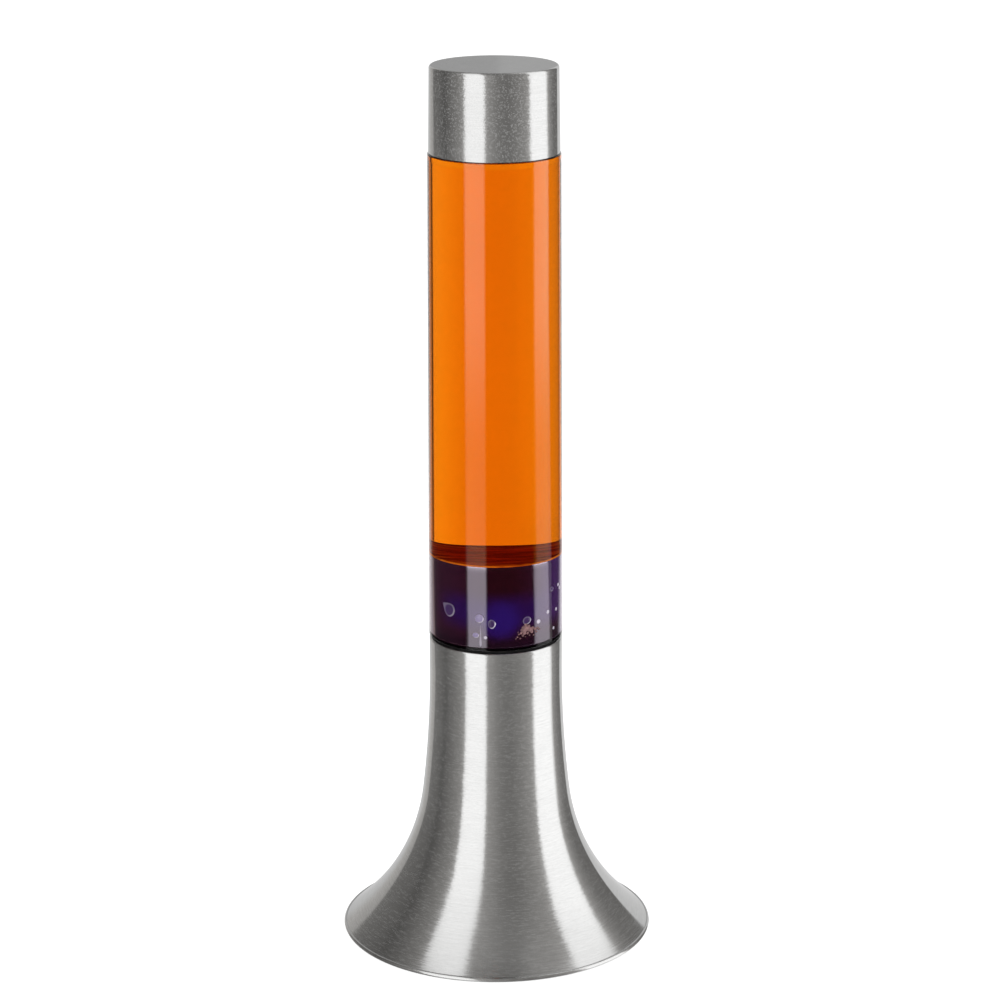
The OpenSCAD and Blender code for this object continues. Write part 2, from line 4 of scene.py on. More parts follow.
import bpy
from bpy.props import FloatProperty, FloatVectorProperty, IntProperty, PointerProperty
from mathutils import Euler, Matrix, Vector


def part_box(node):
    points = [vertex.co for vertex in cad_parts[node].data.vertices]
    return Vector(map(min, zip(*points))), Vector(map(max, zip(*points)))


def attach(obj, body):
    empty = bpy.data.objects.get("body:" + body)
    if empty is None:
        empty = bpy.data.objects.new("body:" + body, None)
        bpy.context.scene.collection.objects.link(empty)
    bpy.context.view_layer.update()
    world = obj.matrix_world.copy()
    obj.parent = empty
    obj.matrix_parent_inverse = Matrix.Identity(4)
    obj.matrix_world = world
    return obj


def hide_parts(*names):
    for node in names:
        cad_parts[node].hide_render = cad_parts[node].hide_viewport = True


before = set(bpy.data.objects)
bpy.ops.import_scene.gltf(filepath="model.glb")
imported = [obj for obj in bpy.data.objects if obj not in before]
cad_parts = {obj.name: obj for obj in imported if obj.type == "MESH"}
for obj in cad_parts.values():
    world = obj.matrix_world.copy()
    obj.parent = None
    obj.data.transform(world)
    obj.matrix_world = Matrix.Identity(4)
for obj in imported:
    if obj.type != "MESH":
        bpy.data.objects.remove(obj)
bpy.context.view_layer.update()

bl_info = {
    "name": "Liquid motion lamp",
    "version": (1, 0, 0),
    "blender": (4, 5, 0),
    "location": "3D View > Sidebar > Lamp",
    "description": "Models the visible pieces of a liquid motion lamp and finishes all of them",
    "category": "Object",
}

MM = 0.001

BASE_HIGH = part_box("base_shell")[1]
BUSH_LOW, BUSH_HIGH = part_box("cord_bush")
CAP_LOW, CAP_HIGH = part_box("cap_shell")
GLASS_LOW, GLASS_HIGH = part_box("glass_vessel")
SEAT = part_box("seat_ring")[1].z
LIQUID_LOW, LIQUID_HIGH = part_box("carrier_liquid")
COIL_LOW, COIL_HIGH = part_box("heat_coil")
# The glass has a ledge that the foot of the cap stands over
LEDGE = CAP_LOW.z

BLACK, WHITE = (0.0, 0.0, 0.0), (1.0, 1.0, 1.0)
# The two values that each corner of a bubble carries for its painted highlight: nearness to its edge, and how
# lit it is
BUBBLE_MARKS = ("edge", "lit")
# Bubbles narrower than this, in millimetres, carry the painted highlight all over
SMALL_BUBBLE = 2.2
# Each softbox: the two edges of its spread, as bearings from the front in degrees
SOFTBOXES = ((-54.0, -16.0), (65.0, 106.0))

# What is seen around the lamp in mirrors and through clear pieces: stops of bearing from the front in
# degrees and brightness. Softboxes stand at the left and right, and a lit wall behind the lamp.
ROOM_IN_METAL = (
    (-180, 0.62), (-155, 0.59), (-145, 0.49), (-132.3, 0.40), (-130.8, 0.19), (-108, 0.15), (-98, 0.112),
    (-84, 0.175), (-66, 0.27), (-54.2, 0.38), (-53.2, 1.32), (-17, 1.32), (-16, 0.38), (-4, 0.31),
    (4, 0.245), (15, 0.205), (25, 0.20), (38, 0.245), (53, 0.32), (64, 0.42), (65, 1.36), (105, 1.36),
    (106, 0.42), (114, 0.30), (126, 0.19), (144.8, 0.165), (146, 0.66), (180, 0.70),
)
ROOM_IN_GLASS = (
    (-180, 1.30), (-166, 1.15), (-155, 0.88), (-148, 0.56), (-143, 0.28), (-138, 0.06), (-133, 0.04),
    (-54, 0.01), (-50, 1.42), (-19, 1.42), (-15, 0.01), (69, 0.01), (74, 1.55), (103, 1.55), (107, 0.02),
    (144, 0.04), (149, 0.50), (155, 0.85), (161, 1.10), (180, 1.30),
)
ROOM_THROUGH_GLASS = (
    (-180, 1.21), (-165, 1.20), (-140, 1.15), (-122, 1.08), (-118.5, 0.95), (-116.5, 0.55), (-114.5, 0.75),
    (-111, 1.80), (-104, 2.60), (-85, 2.20), (0, 1.02), (85, 1.00), (100, 1.00), (119, 0.85), (120.8, 0.06),
    (123.2, 0.06), (126, 1.62), (140, 1.48), (160, 1.28), (180, 1.21),
)
# Changes with height in that room: two heights, as sines of the angle over the horizon, and the level at each
GLASS_FADE = (-0.267, -0.156, 0.42, 1.3)
DIM_HIGH_UP = (0.35, 0.75, 1.0, 0.88)
DIM_FAR_DOWN = (-0.9, -0.5, 0.5, 1.0)
FLOOR_LIGHT = (-0.3, -0.16, 0.028, 0.0)
OVERHEAD_LIGHT = (0.6, 0.93, 0.0, 1.0)
# The dim room ahead of the lamp: its bearing in radians, and its spread about it with the light at each end
AHEAD, AHEAD_SPREAD = 0.3, (1.0, 0.5, 0.0, 0.09)
WALL_DIP = 0.4
CEILING_TONE = (0.10, 0.098, 0.095)
# The most that edges lean, as shares of a full turn: far up, along the wall and below the lamp; and the
# heights that the last two are counted from
LEAN_FAR_UP, LEAN_OF_WALL, LEAN_BELOW = 120 / 360, 13.2 / 360, 57.3 / 360
WALL_FOOT, BELOW_FROM = -0.33, -0.19
# How the room's edges lean with height: bearing, and shares of the lean far up, along the wall and below the
# lamp
ROOM_LEAN = (
    (-180, 0.55, 0.0, 0.0), (-165, 0.40, 1.0, 0.0), (-125, 0.15, 1.0, 0.0), (-105, 0.05, 0.0, 0.0),
    (-84, 0.03, 0.0, 0.0), (-62, 0.10, 0.0, 0.0), (-45, 0.20, 0.0, 0.0), (-30, 0.29, 0.0, 0.0),
    (-15, 0.36, 0.0, 0.0), (20, 0.50, 0.0, 0.0), (62, 0.54, 0.0, 0.5), (73, 0.73, 0.0, 0.5),
    (87, 0.87, 0.0, 0.4), (100, 0.94, 0.0, 1.0), (115, 1.00, 0.0, 1.0), (135, 0.80, 0.0, 1.0),
    (147, 0.60, 0.0, 0.0), (180, 0.55, 0.0, 0.0),
)
# Bubbles: bearing from the front, height over the seat, width, height, lean, tip, milky or not, shine of the
# painted highlight
BUBBLES = (
    (-45.2, 15.7, 6.2, 5.2, -58, 0.8, False, 0.3),
    (-14.6, 14.0, 3.6, 3.6, 0, 0.0, True, 1.0),
    (-3.7, 11.8, 4.0, 3.0, 84, 0.25, False, 1.0),
    (-18.1, 6.5, 2.8, 2.2, 0, 0.0, True, 1.0),
    (-9.2, 5.7, 1.4, 1.4, 0, 0.0, True, 1.0),
    (-13.6, 2.9, 1.1, 2.4, 0, 6.5, False, 0.35),
    (29.0, 12.4, 3.9, 3.3, -20, 0.0, False, 1.0),
    (41.5, 10.8, 2.0, 1.9, 20, 0.0, True, 1.0),
    (53.6, 13.8, 1.7, 1.7, 0, 0.0, True, 1.0),
    (67.4, 13.3, 1.5, 1.5, 0, 0.0, True, 1.0),
    (62.3, 5.5, 1.4, 1.4, 0, 0.0, True, 1.0),
    (59.5, 23.3, 2.3, 2.0, 0, 0.0, False, 1.0),
    (72.0, 23.6, 1.6, 1.5, 0, 0.0, True, 1.0),
    (75.5, 21.8, 1.8, 1.7, 0, 0.0, True, 1.0),
)
# Crumbs: bearing from the front, height over the seat, size
CRUMBS = (
    (27.5, 9.0, 2.6), (30.5, 8.5, 2.4), (25.4, 8.0, 2.2), (33.5, 7.6, 2.0), (28.1, 10.5, 1.6),
    (25.7, 9.5, 1.7), (30.6, 9.5, 1.7), (24.1, 8.4, 1.5), (27.6, 8.2, 2.0), (32.3, 8.4, 1.6),
    (34.9, 8.7, 1.3), (37.6, 7.9, 1.5), (40.4, 8.0, 1.4), (42.4, 7.4, 1.0), (23.3, 7.1, 1.3),
    (26.6, 6.9, 1.6), (29.8, 6.7, 1.2), (34.1, 6.9, 1.3), (38.8, 6.6, 1.0), (21.0, 6.6, 0.8),
    (24.9, 5.8, 1.0), (19.8, 5.5, 0.7), (22.5, 4.8, 0.7), (18.4, 4.8, 0.5), (31.6, 5.6, 0.7),
    (36.0, 5.4, 0.8), (20.2, 7.6, 0.4), (27.4, 5.2, 0.5),
)


# Properties


def length(name, description, millimetres):
    """A property for a length that is given in millimetres."""
    return FloatProperty(
        name=name, description=description, default=millimetres * MM, min=0.0, precision=5,
        unit="LENGTH", subtype="DISTANCE",
    )


def angle(name, description, degrees):
    """A property for an angle that is given in degrees."""
    return FloatProperty(name=name, description=description, default=math.radians(degrees), subtype="ANGLE")


def tint(name, description, default):
    """A property for a colour in linear light."""
    return FloatVectorProperty(
        name=name, description=description, default=default, size=3, min=0.0, max=1.0, subtype="COLOR"
    )


def level(name, description, default):
    """A property for a plain amount."""
    return FloatProperty(name=name, description=description, default=default, min=0.0)


def count(name, description, default):
    """A property for a number of things."""
    return IntProperty(name=name, description=description, default=default, min=3)


class LampMetalSizes(bpy.types.PropertyGroup):
    """Sizes of the spun base and the drawn cap."""

    base_height: length("Base height", "From the floor to the top of the neck", BASE_HIGH.z / MM)
    rim_radius: length("Rim radius", "Outer radius of the rolled rim", BASE_HIGH.x / MM + 0.5)
    rim_gap: length("Rim gap", "Height of the rolled rim above the floor", 0.3)
    bead_radius: length("Bead radius", "Radius of the roll at the rim", 0.95)
    neck_radius: length("Neck radius", "Outer radius of the straight neck", 28.72)
    neck_straight: length("Straight neck", "Length of the straight part of the neck", 14.0)
    gentle_radius: length("Gentle curve", "Radius of the curve under the neck", 472.0)
    flare_turn: angle("Flare turn", "Lean from the vertical where the tighter curve takes over", 6.85)
    shell_wall: length("Shell wall", "Sheet thickness of the base", 1.2)
    lip_width: length("Lip width", "Width of the inward lip at the top of the neck", 2.5)
    lip_bend: length("Lip bend", "Outer radius of the bend into the lip", 0.7)
    lip_inside: length("Lip inside", "Inner radius of the bend into the lip", 0.3)
    bush_hole: length("Bush hole", "Radius of the hole for the cord bush", 4.6)
    bush_reach: length("Bush reach", "How far the hole's cutter reaches past the cord bush", 12.0)
    cap_wall: length("Cap wall", "Sheet thickness of the cap", 0.9)
    cap_edge: length("Cap edge", "Rounding of the cap's top edge", 1.3)
    cap_inside: length("Cap inside", "Rounding inside the cap's top edge", 0.5)
    cap_draft: length("Cap draft", "How much narrower the cap is at its top", 0.5)
    cap_foot: length("Cap foot", "Rounding of the cap's lower edge", 0.3)
    cap_clear: length("Cap clearance", "Gap between the cap and the ledge of the glass", 0.05)
    turning_steps: count("Turning steps", "Faces round each turned piece", 320)


class LampGlassSizes(bpy.types.PropertyGroup):
    """Sizes of the glass vessel and what it holds."""

    wall: length("Wall", "Wall of the glass", 2.6)
    heel_radius: length("Heel radius", "Outer radius of the heel inside the base", 24.0)
    heel_round: length("Heel rounding", "Rounding under the heel", 2.0)
    floor: length("Floor", "Thickness of the glass floor", 3.4)
    floor_round: length("Floor rounding", "Rounding inside the floor", 1.5)
    seat_round: length("Seat rounding", "Rounding of the glass above its seat", 0.4)
    step: length("Step", "Thickness of the glass over its seat", 0.4)
    step_round: length("Step rounding", "Rounding inside the glass above its seat", 1.0)
    ledge_round: length("Ledge rounding", "Rounding of the ledge under the cap", 0.5)
    foot_spread: level("Foot spread", "Width of the tube at its foot, as a share of its usual width", 1.02)
    top_draw: level("Top draw", "Width of the tube at its top, as a share of its usual width", 0.985)
    shoulder_radius: length("Shoulder radius", "Outer radius of the dome on the ledge", 25.7)
    bore_radius: length("Bore radius", "Radius of the bore in the vessel's neck", 10.5)
    throat_radius: length("Throat radius", "Outer radius of the vessel's neck", 12.3)
    throat_height: length("Throat height", "Height of the straight bore over the ledge", 12.0)
    mouth_radius: length("Mouth radius", "Outer radius of the bead at the mouth", 13.3)
    mouth_height: length("Mouth height", "Height of the bead at the mouth", 6.0)
    mouth_round: length("Mouth rounding", "Rounding of the bead at the mouth", 0.9)
    taper_drop: length("Taper drop", "Distance of the inner taper below the ledge", 3.0)
    wetting: length("Wetting", "How far the fill reaches into the inner face of the glass", 0.1)
    wax_drop: length("Wax drop", "How far the cold wax has sunk below its usual level", 0.75)
    wax_lean: angle("Wax lean", "How far the top of the cold wax leans towards the back", 2.3)
    meniscus: length("Meniscus", "Rounding of the wax where it meets the glass", 0.7)
    coil_ring: length("Coil ring", "Radius of the ring that the wire coil lies in", 15.4)
    coil_curl: length("Coil curl", "Radius of each curl to the middle of the wire", 2.2)
    coil_wire: length("Coil wire", "Radius of the coil's wire", 0.45)
    coil_curls: count("Coil curls", "Number of curls in the wire coil", 34)
    coil_start: angle("Coil start", "Where on its ring the wire coil starts", 6.0)
    coil_span: angle("Coil span", "How much of its ring the wire coil fills", 348.0)


class LampColours(bpy.types.PropertyGroup):
    """Colours of the lamp's finishes, in linear light."""

    metal: tint("Metal", "Spun and drawn aluminium", (0.72, 0.72, 0.715))
    liquid: tint("Liquid", "Carrier liquid seen through its middle", (0.81, 0.136, 0.0005))
    liquid_edge: tint("Liquid edge", "Carrier liquid where less of it is looked through", (0.87, 0.25, 0.004))
    # Painted light: the liquid's colour painted into the glass edges beside it
    glass_edge_liquid_light: tint("Glass edge", "Edges of the glass beside the liquid", (1.0, 0.88, 0.8))
    wax_dark: tint("Dark wax", "Maroon of the settled wax", (0.033, 0.003, 0.008))
    wax_side: tint("Side wax", "Wax towards the sides", (0.047, 0.008, 0.026))
    wax_low: tint("Low wax", "Wax near the bottom", (0.023, 0.005, 0.016))
    wax_violet: tint("Violet wax", "Violet drifts in the wax", (0.036, 0.006, 0.105))
    wax_blue: tint("Blue wax", "Blue heart of the wax", (0.040, 0.010, 0.210))
    wax_plum: tint("Plum wax", "Paler wax at the right", (0.080, 0.022, 0.150))
    # Painted reflection of the room in the gap between the wax and the glass
    wax_gap_reflection: tint("Wax gap", "Light caught between wax and glass at the sides", (0.24, 0.15, 0.145))
    wax_gap_reflection_right: tint("Wax gap at the right", "Light caught at the right", (0.42, 0.36, 0.45))
    wax_top: tint("Wax top", "Upper face of the wax", (0.70, 0.085, 0.03))
    wax_front: tint("Wax front", "Upper face of the wax near the glass", (0.90, 0.30, 0.12))
    # Painted light: the bright broken line along the wax's edge, which also glows
    wax_rim_painted_light: tint("Wax rim", "Thin edge of the wax under the liquid", (0.95, 0.55, 0.38))
    # Painted highlight: the bright rim of the bubbles, which also glows
    bubble: tint("Bubble", "Bright rim of the bubbles between the wax and the glass", (0.92, 0.86, 0.98))
    bubble_heart: tint("Bubble heart", "Middle of the clear bubbles", (0.085, 0.035, 0.17))
    bubble_pale: tint("Pale bubble", "Middle of the milky bubbles", (0.60, 0.50, 0.85))
    crumb: tint("Crumb", "Crumbs of wax that cling to the glass", (0.64, 0.36, 0.36))


class LampStage(bpy.types.PropertyGroup):
    """Camera, floor and lights."""

    camera_place: FloatVectorProperty(
        name="Camera place", description="Where the camera stands", default=(0.00198, -1.309, 0.569),
        subtype="XYZ",
    )
    camera_pitch: angle("Camera pitch", "How far the camera looks down", 15.98)
    camera_roll: angle("Camera roll", "How far the camera leans to its right", 0.16)
    camera_lens: level("Lens", "Focal length in millimetres", 114.5)
    camera_sensor: level("Sensor", "Width of the camera's sensor in millimetres", 36.0)
    softbox_level: level("Softbox level", "Brightness of the two softboxes on matt surfaces", 1.32)
    softbox_away: length("Softbox distance", "From the lamp's axis to each softbox", 1200.0)
    softbox_tall: length("Softbox height", "From the foot of each softbox to its top", 5000.0)
    softbox_middle: length("Softbox middle", "From the floor to the middle of each softbox", 1700.0)
    ambient_level: level("Ambient level", "Even light on matt surfaces", 0.55)
    floor_size: length("Floor size", "Length of the floor's sides", 16000.0)
    floor_tint: tint("Floor", "Pale floor", (0.93, 0.93, 0.93))
    floor_glow: level("Floor glow", "Light that keeps the floor white away from the lamp", 0.62)


# Modelling helpers


def deselect():
    """Leaves nothing selected."""
    bpy.ops.object.select_all(action="DESELECT")


def choose(piece):
    """Selects one piece alone and makes it active."""
    deselect()
    bpy.context.view_layer.objects.active = piece
    piece.select_set(True)


def pick(piece, wanted):
    """Opens a piece in edit mode with only the wanted vertices selected."""
    choose(piece)
    bpy.ops.object.mode_set(mode="EDIT")
    bpy.ops.mesh.select_all(action="DESELECT")
    bpy.ops.mesh.select_mode(type="VERT")
    bpy.ops.object.mode_set(mode="OBJECT")
    for corner in piece.data.vertices:
        corner.select = wanted(corner)
    bpy.ops.object.mode_set(mode="EDIT")


def named(piece, name):
    """Gives a piece and its mesh the same name."""
    piece.name = name
    piece.data.name = name
    return piece


def arc(centre, radius, start, end, steps):
    """Points (radius, height) on an arc about a centre, between two angles in degrees."""
    turns = [math.radians(start + (end - start) * i / steps) for i in range(steps + 1)]
    return [(centre[0] + radius * math.cos(t), centre[1] + radius * math.sin(t)) for t in turns]


def outline(*runs):
    """One list of points from several runs, without the points that repeat at their ends."""
    points = [runs[0][0]]
    for point in (p for run in runs for p in run):
        if math.dist(point, points[-1]) > 0.001 * MM:
            points.append(point)
    return points


def drawn(points, low, high):
    """Outline points scaled in width with height: low and high pair a height with a share of the width."""
    made = []
    for radius, height in points:
        share = min(max((height - low[0]) / (high[0] - low[0]), 0.0), 1.0)
        made.append((radius * (low[1] + share * (high[1] - low[1])), height))
    return made


def drawn_out(name, points):
    """A line through points, left open in edit mode: one vertex drawn out from each point to the next."""
    deselect()
    bpy.ops.mesh.primitive_circle_add(vertices=3, radius=MM)
    piece = named(bpy.context.object, name)
    bpy.ops.object.mode_set(mode="EDIT")
    bpy.ops.mesh.select_all(action="SELECT")
    bpy.ops.mesh.merge(type="CENTER")
    bpy.ops.transform.translate(value=points[0])
    for here, there in zip(points, points[1:]):
        step = [b - a for a, b in zip(here, there)]
        bpy.ops.mesh.extrude_vertices_move(TRANSFORM_OT_translate={"value": step})
    return piece


def turned(name, points, smooth=35):
    """A piece turned round the Z axis from its half section."""
    piece = drawn_out(name, [(radius, 0, height) for radius, height in points])
    bpy.ops.mesh.select_all(action="SELECT")
    steps = bpy.context.scene.lamp_metal.turning_steps
    bpy.ops.mesh.spin(steps=steps, angle=math.tau, center=(0, 0, 0), axis=(0, 0, 1))
    bpy.ops.mesh.select_all(action="SELECT")
    bpy.ops.mesh.remove_doubles(threshold=0.002 * MM)
    bpy.ops.mesh.normals_make_consistent(inside=False)
    bpy.ops.object.mode_set(mode="OBJECT")
    bpy.ops.object.shade_smooth_by_angle(angle=math.radians(smooth))
    return piece


def finished(piece, *finishes):
    """Gives a piece its finishes, in the order of their places on it."""
    for finish in finishes:
        piece.data.materials.append(kept(finish))
    return piece


def hand_over(piece, body, slot, *nodes):
    """Lets a finished piece ride on its body and stand for its CAD nodes."""
    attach(piece, body)
    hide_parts(*nodes)
    return {"FINISHED"}


# Material helpers


def shade(colour, share):
    """A colour made darker or lighter."""
    return tuple(share * part for part in colour)


class Nodes:
    """Places and links the nodes of one tree."""

    def __init__(self, tree):
        self.tree = tree

    def feed(self, target, value):
        """Links an output to an input, or gives the input a plain value."""
        if isinstance(value, bpy.types.NodeSocket):
            self.tree.links.new(value, target)
        else:
            target.default_value = (*value[:3], 1.0) if target.type == "RGBA" else value

    def add(self, kind, values=None, **settings):
        """A node of a kind, with its settings and what its inputs are fed."""
        node = self.tree.nodes.new(kind)
        for name, value in settings.items():
            setattr(node, name, value)
        for name, value in (values or {}).items():
            self.feed(node.inputs[name], value)
        return node

    def maths(self, operation, *values, clamp=False):
        """The output of a Math node."""
        node = self.add("ShaderNodeMath", dict(enumerate(values)), operation=operation, use_clamp=clamp)
        return node.outputs[0]

    def plus(self, a, b, clamp=False):
        """A sum."""
        return self.maths("ADD", a, b, clamp=clamp)

    def minus(self, a, b):
        """A difference."""
        return self.maths("SUBTRACT", a, b)

    def times(self, a, b, clamp=False):
        """A product."""
        return self.maths("MULTIPLY", a, b, clamp=clamp)

    def unsigned(self, value):
        """A value without its sign."""
        return self.maths("ABSOLUTE", value)

    def reach(self, x, y):
        """The distance from the Z axis."""
        return self.maths("SQRT", self.plus(self.times(x, x), self.times(y, y)))

    def bearing(self, x, y):
        """The angle about the Z axis from the front, with its seam at the back."""
        return self.maths("ARCTAN2", x, self.times(y, -1.0))

    def vector(self, operation, a, b=BLACK):
        """The output of a Vector Math node; b is the factor where the operation is SCALE."""
        second = "Scale" if operation == "SCALE" else 1
        node = self.add("ShaderNodeVectorMath", {0: a, second: b}, operation=operation)
        return node.outputs["Value" if operation == "LENGTH" else "Vector"]

    def ramp(self, value, low, high, to_low=0.0, to_high=1.0):
        """A value taken smoothly from one range to another."""
        values = dict(enumerate((value, low, high, to_low, to_high)))
        return self.add("ShaderNodeMapRange", values, interpolation_type="SMOOTHSTEP").outputs[0]

    def blend(self, share, a, b):
        """A colour between two colours."""
        return self.add("ShaderNodeMix", {0: share, 6: a, 7: b}, data_type="RGBA").outputs[2]

    def noise(self, vector, scale, detail=2.0, roughness=0.5, distortion=0.0):
        """The value of a noise texture."""
        values = {"Vector": vector, "Scale": scale, "Detail": detail, "Roughness": roughness}
        return self.add("ShaderNodeTexNoise", {**values, "Distortion": distortion}).outputs[0]

    def place(self):
        """Object coordinates."""
        return self.add("ShaderNodeTexCoord").outputs["Object"]

    def stretched(self, scale):
        """Object coordinates scaled by different amounts along their axes."""
        return self.add("ShaderNodeMapping", {"Vector": self.place(), "Scale": scale}).outputs[0]

    def split(self, vector):
        """The three parts of a vector."""
        return self.add("ShaderNodeSeparateXYZ", {0: vector}).outputs

    def facing(self):
        """0 where a surface is looked at squarely, 1 along its edges."""
        return self.add("ShaderNodeLayerWeight", {"Blend": 0.5}).outputs["Facing"]

    def bump(self, height, strength, distance):
        """A normal shaped by a height."""
        values = {"Height": height, "Strength": strength, "Distance": distance}
        return self.add("ShaderNodeBump", values).outputs[0]

    def group(self, make, name, **values):
        """The outputs of a shared group, built the first time that it is asked for."""
        shared = bpy.data.node_groups.get(name) or make(name)
        spaced = {label.replace("_", " "): value for label, value in values.items()}
        return self.add("ShaderNodeGroup", {"Position": self.place(), **spaced}, node_tree=shared).outputs

    def grain(self, **values):
        """Scratches, grains and drift of turned metal."""
        return self.group(turned_grain, "Turned grain", **values)

    def mottle(self, density):
        """Cloudy patches and a finer grain."""
        return self.group(mottled_patches, "Mottle", Patch_Density=density)


class Finish(Nodes):
    """A material with one Principled shader."""

    def __init__(self, name):
        self.made = bpy.data.materials.new(name)
        self.made.use_nodes = True
        super().__init__(self.made.node_tree)
        self.shader = self.tree.nodes["Principled BSDF"]

    def set(self, **values):
        """Feeds the shader's inputs, an underline in place of each space, and gives back the material."""
        for label, value in values.items():
            self.feed(self.shader.inputs[label.replace("_", " ")], value)
        return self.made

    def see_through(self, shadow_tint):
        """Lets light fall straight through a clear piece, tinted, instead of casting a dark shadow."""
        shadow = self.add("ShaderNodeLightPath").outputs["Is Shadow Ray"]
        clear = self.add("ShaderNodeBsdfTransparent", {"Color": shadow_tint})
        mix = self.add("ShaderNodeMixShader", {0: shadow, 1: self.shader.outputs[0], 2: clear.outputs[0]})
        self.feed(self.tree.nodes["Material Output"].inputs["Surface"], mix.outputs[0])


def shared_group(name, inputs, outputs):
    """A shader node group at a position: its nodes, the sockets that it is given and those that it gives."""
    tree = bpy.data.node_groups.new(name, "ShaderNodeTree")
    tree.interface.new_socket("Position", in_out="INPUT", socket_type="NodeSocketVector")
    for label, default in inputs.items():
        socket = tree.interface.new_socket(label, in_out="INPUT", socket_type="NodeSocketFloat")
        socket.default_value = default
    for label in outputs:
        tree.interface.new_socket(label, in_out="OUTPUT", socket_type="NodeSocketFloat")
    nodes = Nodes(tree)
    return nodes, nodes.add("NodeGroupInput").outputs, nodes.add("NodeGroupOutput").inputs


def turned_grain(name):
    """Fine scratches that run round the Z axis, and loose grains among them, each with a value of its own."""
    values = {"Line Density": 2600.0, "Line Length": 0.012, "Grain Density": 2800.0, "Grain Length": 5.0}
    nodes, given, result = shared_group(name, values, ("Lines", "Grains", "Drift"))
    x, y, z = nodes.split(given["Position"])
    radius = nodes.reach(x, y)
    mean_radius = 30 * MM
    round_it = nodes.times(nodes.bearing(x, y), mean_radius)

    def stretch(along, across):
        """Places along the scratches and, on another scale, across them."""
        places = {0: along, 1: nodes.times(radius, across), 2: nodes.times(z, across)}
        return nodes.add("ShaderNodeCombineXYZ", places).outputs[0]

    lines = stretch(nodes.maths("DIVIDE", round_it, given["Line Length"]), given["Line Density"])
    nodes.feed(result["Lines"], nodes.noise(lines, 1.0, 4.0, 0.6))
    drift = stretch(nodes.times(round_it, 30.0), 90.0)
    nodes.feed(result["Drift"], nodes.noise(drift, 1.0, 3.0, 0.6))
    dense = nodes.maths("DIVIDE", given["Grain Density"], given["Grain Length"])
    grains = stretch(nodes.times(round_it, dense), given["Grain Density"])
    cells = nodes.add("ShaderNodeTexVoronoi", {"Vector": grains, "Scale": 1.0})
    shades = nodes.add("ShaderNodeSeparateColor", {0: cells.outputs["Color"]})
    nodes.feed(result["Grains"], shades.outputs[0])
    return nodes.tree


def mottled_patches(name):
    """Even cloudy patches with a finer grain over them."""
    nodes, given, result = shared_group(name, {"Patch Density": 200.0}, ("Patches", "Grain"))
    spot, dense = given["Position"], given["Patch Density"]
    nodes.feed(result["Patches"], nodes.noise(spot, dense, 3.0))
    nodes.feed(result["Grain"], nodes.noise(spot, nodes.times(dense, 9.0), 2.0))
    return nodes.tree


# Finishes


def brushed_aluminium(name, grain_density, grain_length, tones, paleness, turn):
    """Aluminium brushed round its axis: bright streaks stretch across the scratches, and grains sparkle."""
    look = Finish(name)
    grain = look.grain(Grain_Density=grain_density, Grain_Length=grain_length)
    dull, bright = (shade(bpy.context.scene.lamp_colours.metal, tone) for tone in tones)
    share = look.plus(look.times(grain["Lines"], 0.7), look.times(grain["Drift"], 0.3))
    worn = look.plus(look.times(look.ramp(share, 0.3, 0.7), 0.6), look.times(grain["Grains"], 0.4))
    facing = look.facing()
    slick = look.ramp(facing, 0.5, 0.7, 1.0, 0.22)
    # Each grain is turned a little aside, except where the metal is looked at along its face
    aside = look.minus(look.times(grain["Grains"], 2.0), 1.0)
    aside = look.times(aside, look.ramp(facing, 0.35, 0.55, 1.0, 0.0))
    bumped = look.bump(grain["Lines"], 1.0, 0.006 * MM)
    values = {"Vector": bumped, "Angle": look.times(aside, math.radians(turn))}
    normal = look.add("ShaderNodeVectorRotate", values, rotation_type="Z_AXIS").outputs[0]
    return look.set(
        Base_Color=look.blend(worn, dull, bright),
        Roughness=look.times(look.ramp(grain["Lines"], 0.3, 0.75, 0.18, 0.25), slick),
        # A few grains are dull, so they show pale where the metal round them mirrors the dark of the room
        Metallic=look.ramp(grain["Grains"], 0.77, 0.81, 1.0, paleness),
        Anisotropic=0.95,
        Anisotropic_Rotation=0.25,
        Tangent=look.add("ShaderNodeTangent", direction_type="RADIAL", axis="Z").outputs[0],
        Normal=normal,
    )


def clear_glass(name):
    """Clear glass with the faint waviness of drawn tube."""
    look = Finish(name)
    wave = look.noise(look.stretched((1.0, 1.0, 0.08)), 120.0, 1.0)
    # Beside the liquid the edges of the glass are painted with some of its colour, standing in for the
    # liquid's light seen in the glass
    height = look.split(look.place())["Z"]
    beside = look.ramp(height, LIQUID_LOW.z, LIQUID_LOW.z + 6 * MM)
    warm = look.times(beside, look.ramp(look.facing(), 0.5, 0.8))
    clear = look.blend(wave, CLEAR, WHITE)
    look.see_through((0.97, 0.97, 0.97))
    return look.set(
        Base_Color=look.blend(warm, clear, bpy.context.scene.lamp_colours.glass_edge_liquid_light),
        Normal=look.bump(wave, 0.2, 0.1 * MM),
        **AS_GLASS,
    )


def toned_glass(name, low, high, shadow_tint, plain):
    """Glass in two close tones."""
    look = Finish(name)
    tone = look.ramp(look.noise(look.place(), 150.0), 0.3, 0.7)
    look.see_through(shadow_tint)
    return look.set(Base_Color=look.blend(tone, low, high), **AS_GLASS, **plain)


def orange_liquid(name):
    """Clear orange liquid, paler at its sides where less of it is looked through."""
    look, colours = Finish(name), bpy.context.scene.lamp_colours
    drift = look.ramp(look.noise(look.place(), 14.0), 0.35, 0.65)
    middle = look.blend(drift, shade(colours.liquid, 0.97), colours.liquid)
    aside = look.times(look.facing(), 3.3, clamp=True)
    look.see_through((1.0, 0.62, 0.25))
    return look.set(
        Base_Color=look.blend(aside, middle, colours.liquid_edge),
        Specular_Tint=(1.0, 0.8, 0.1),
        Specular_IOR_Level=1.2,
        **{**AS_GLASS, "IOR": 1.44},
    )


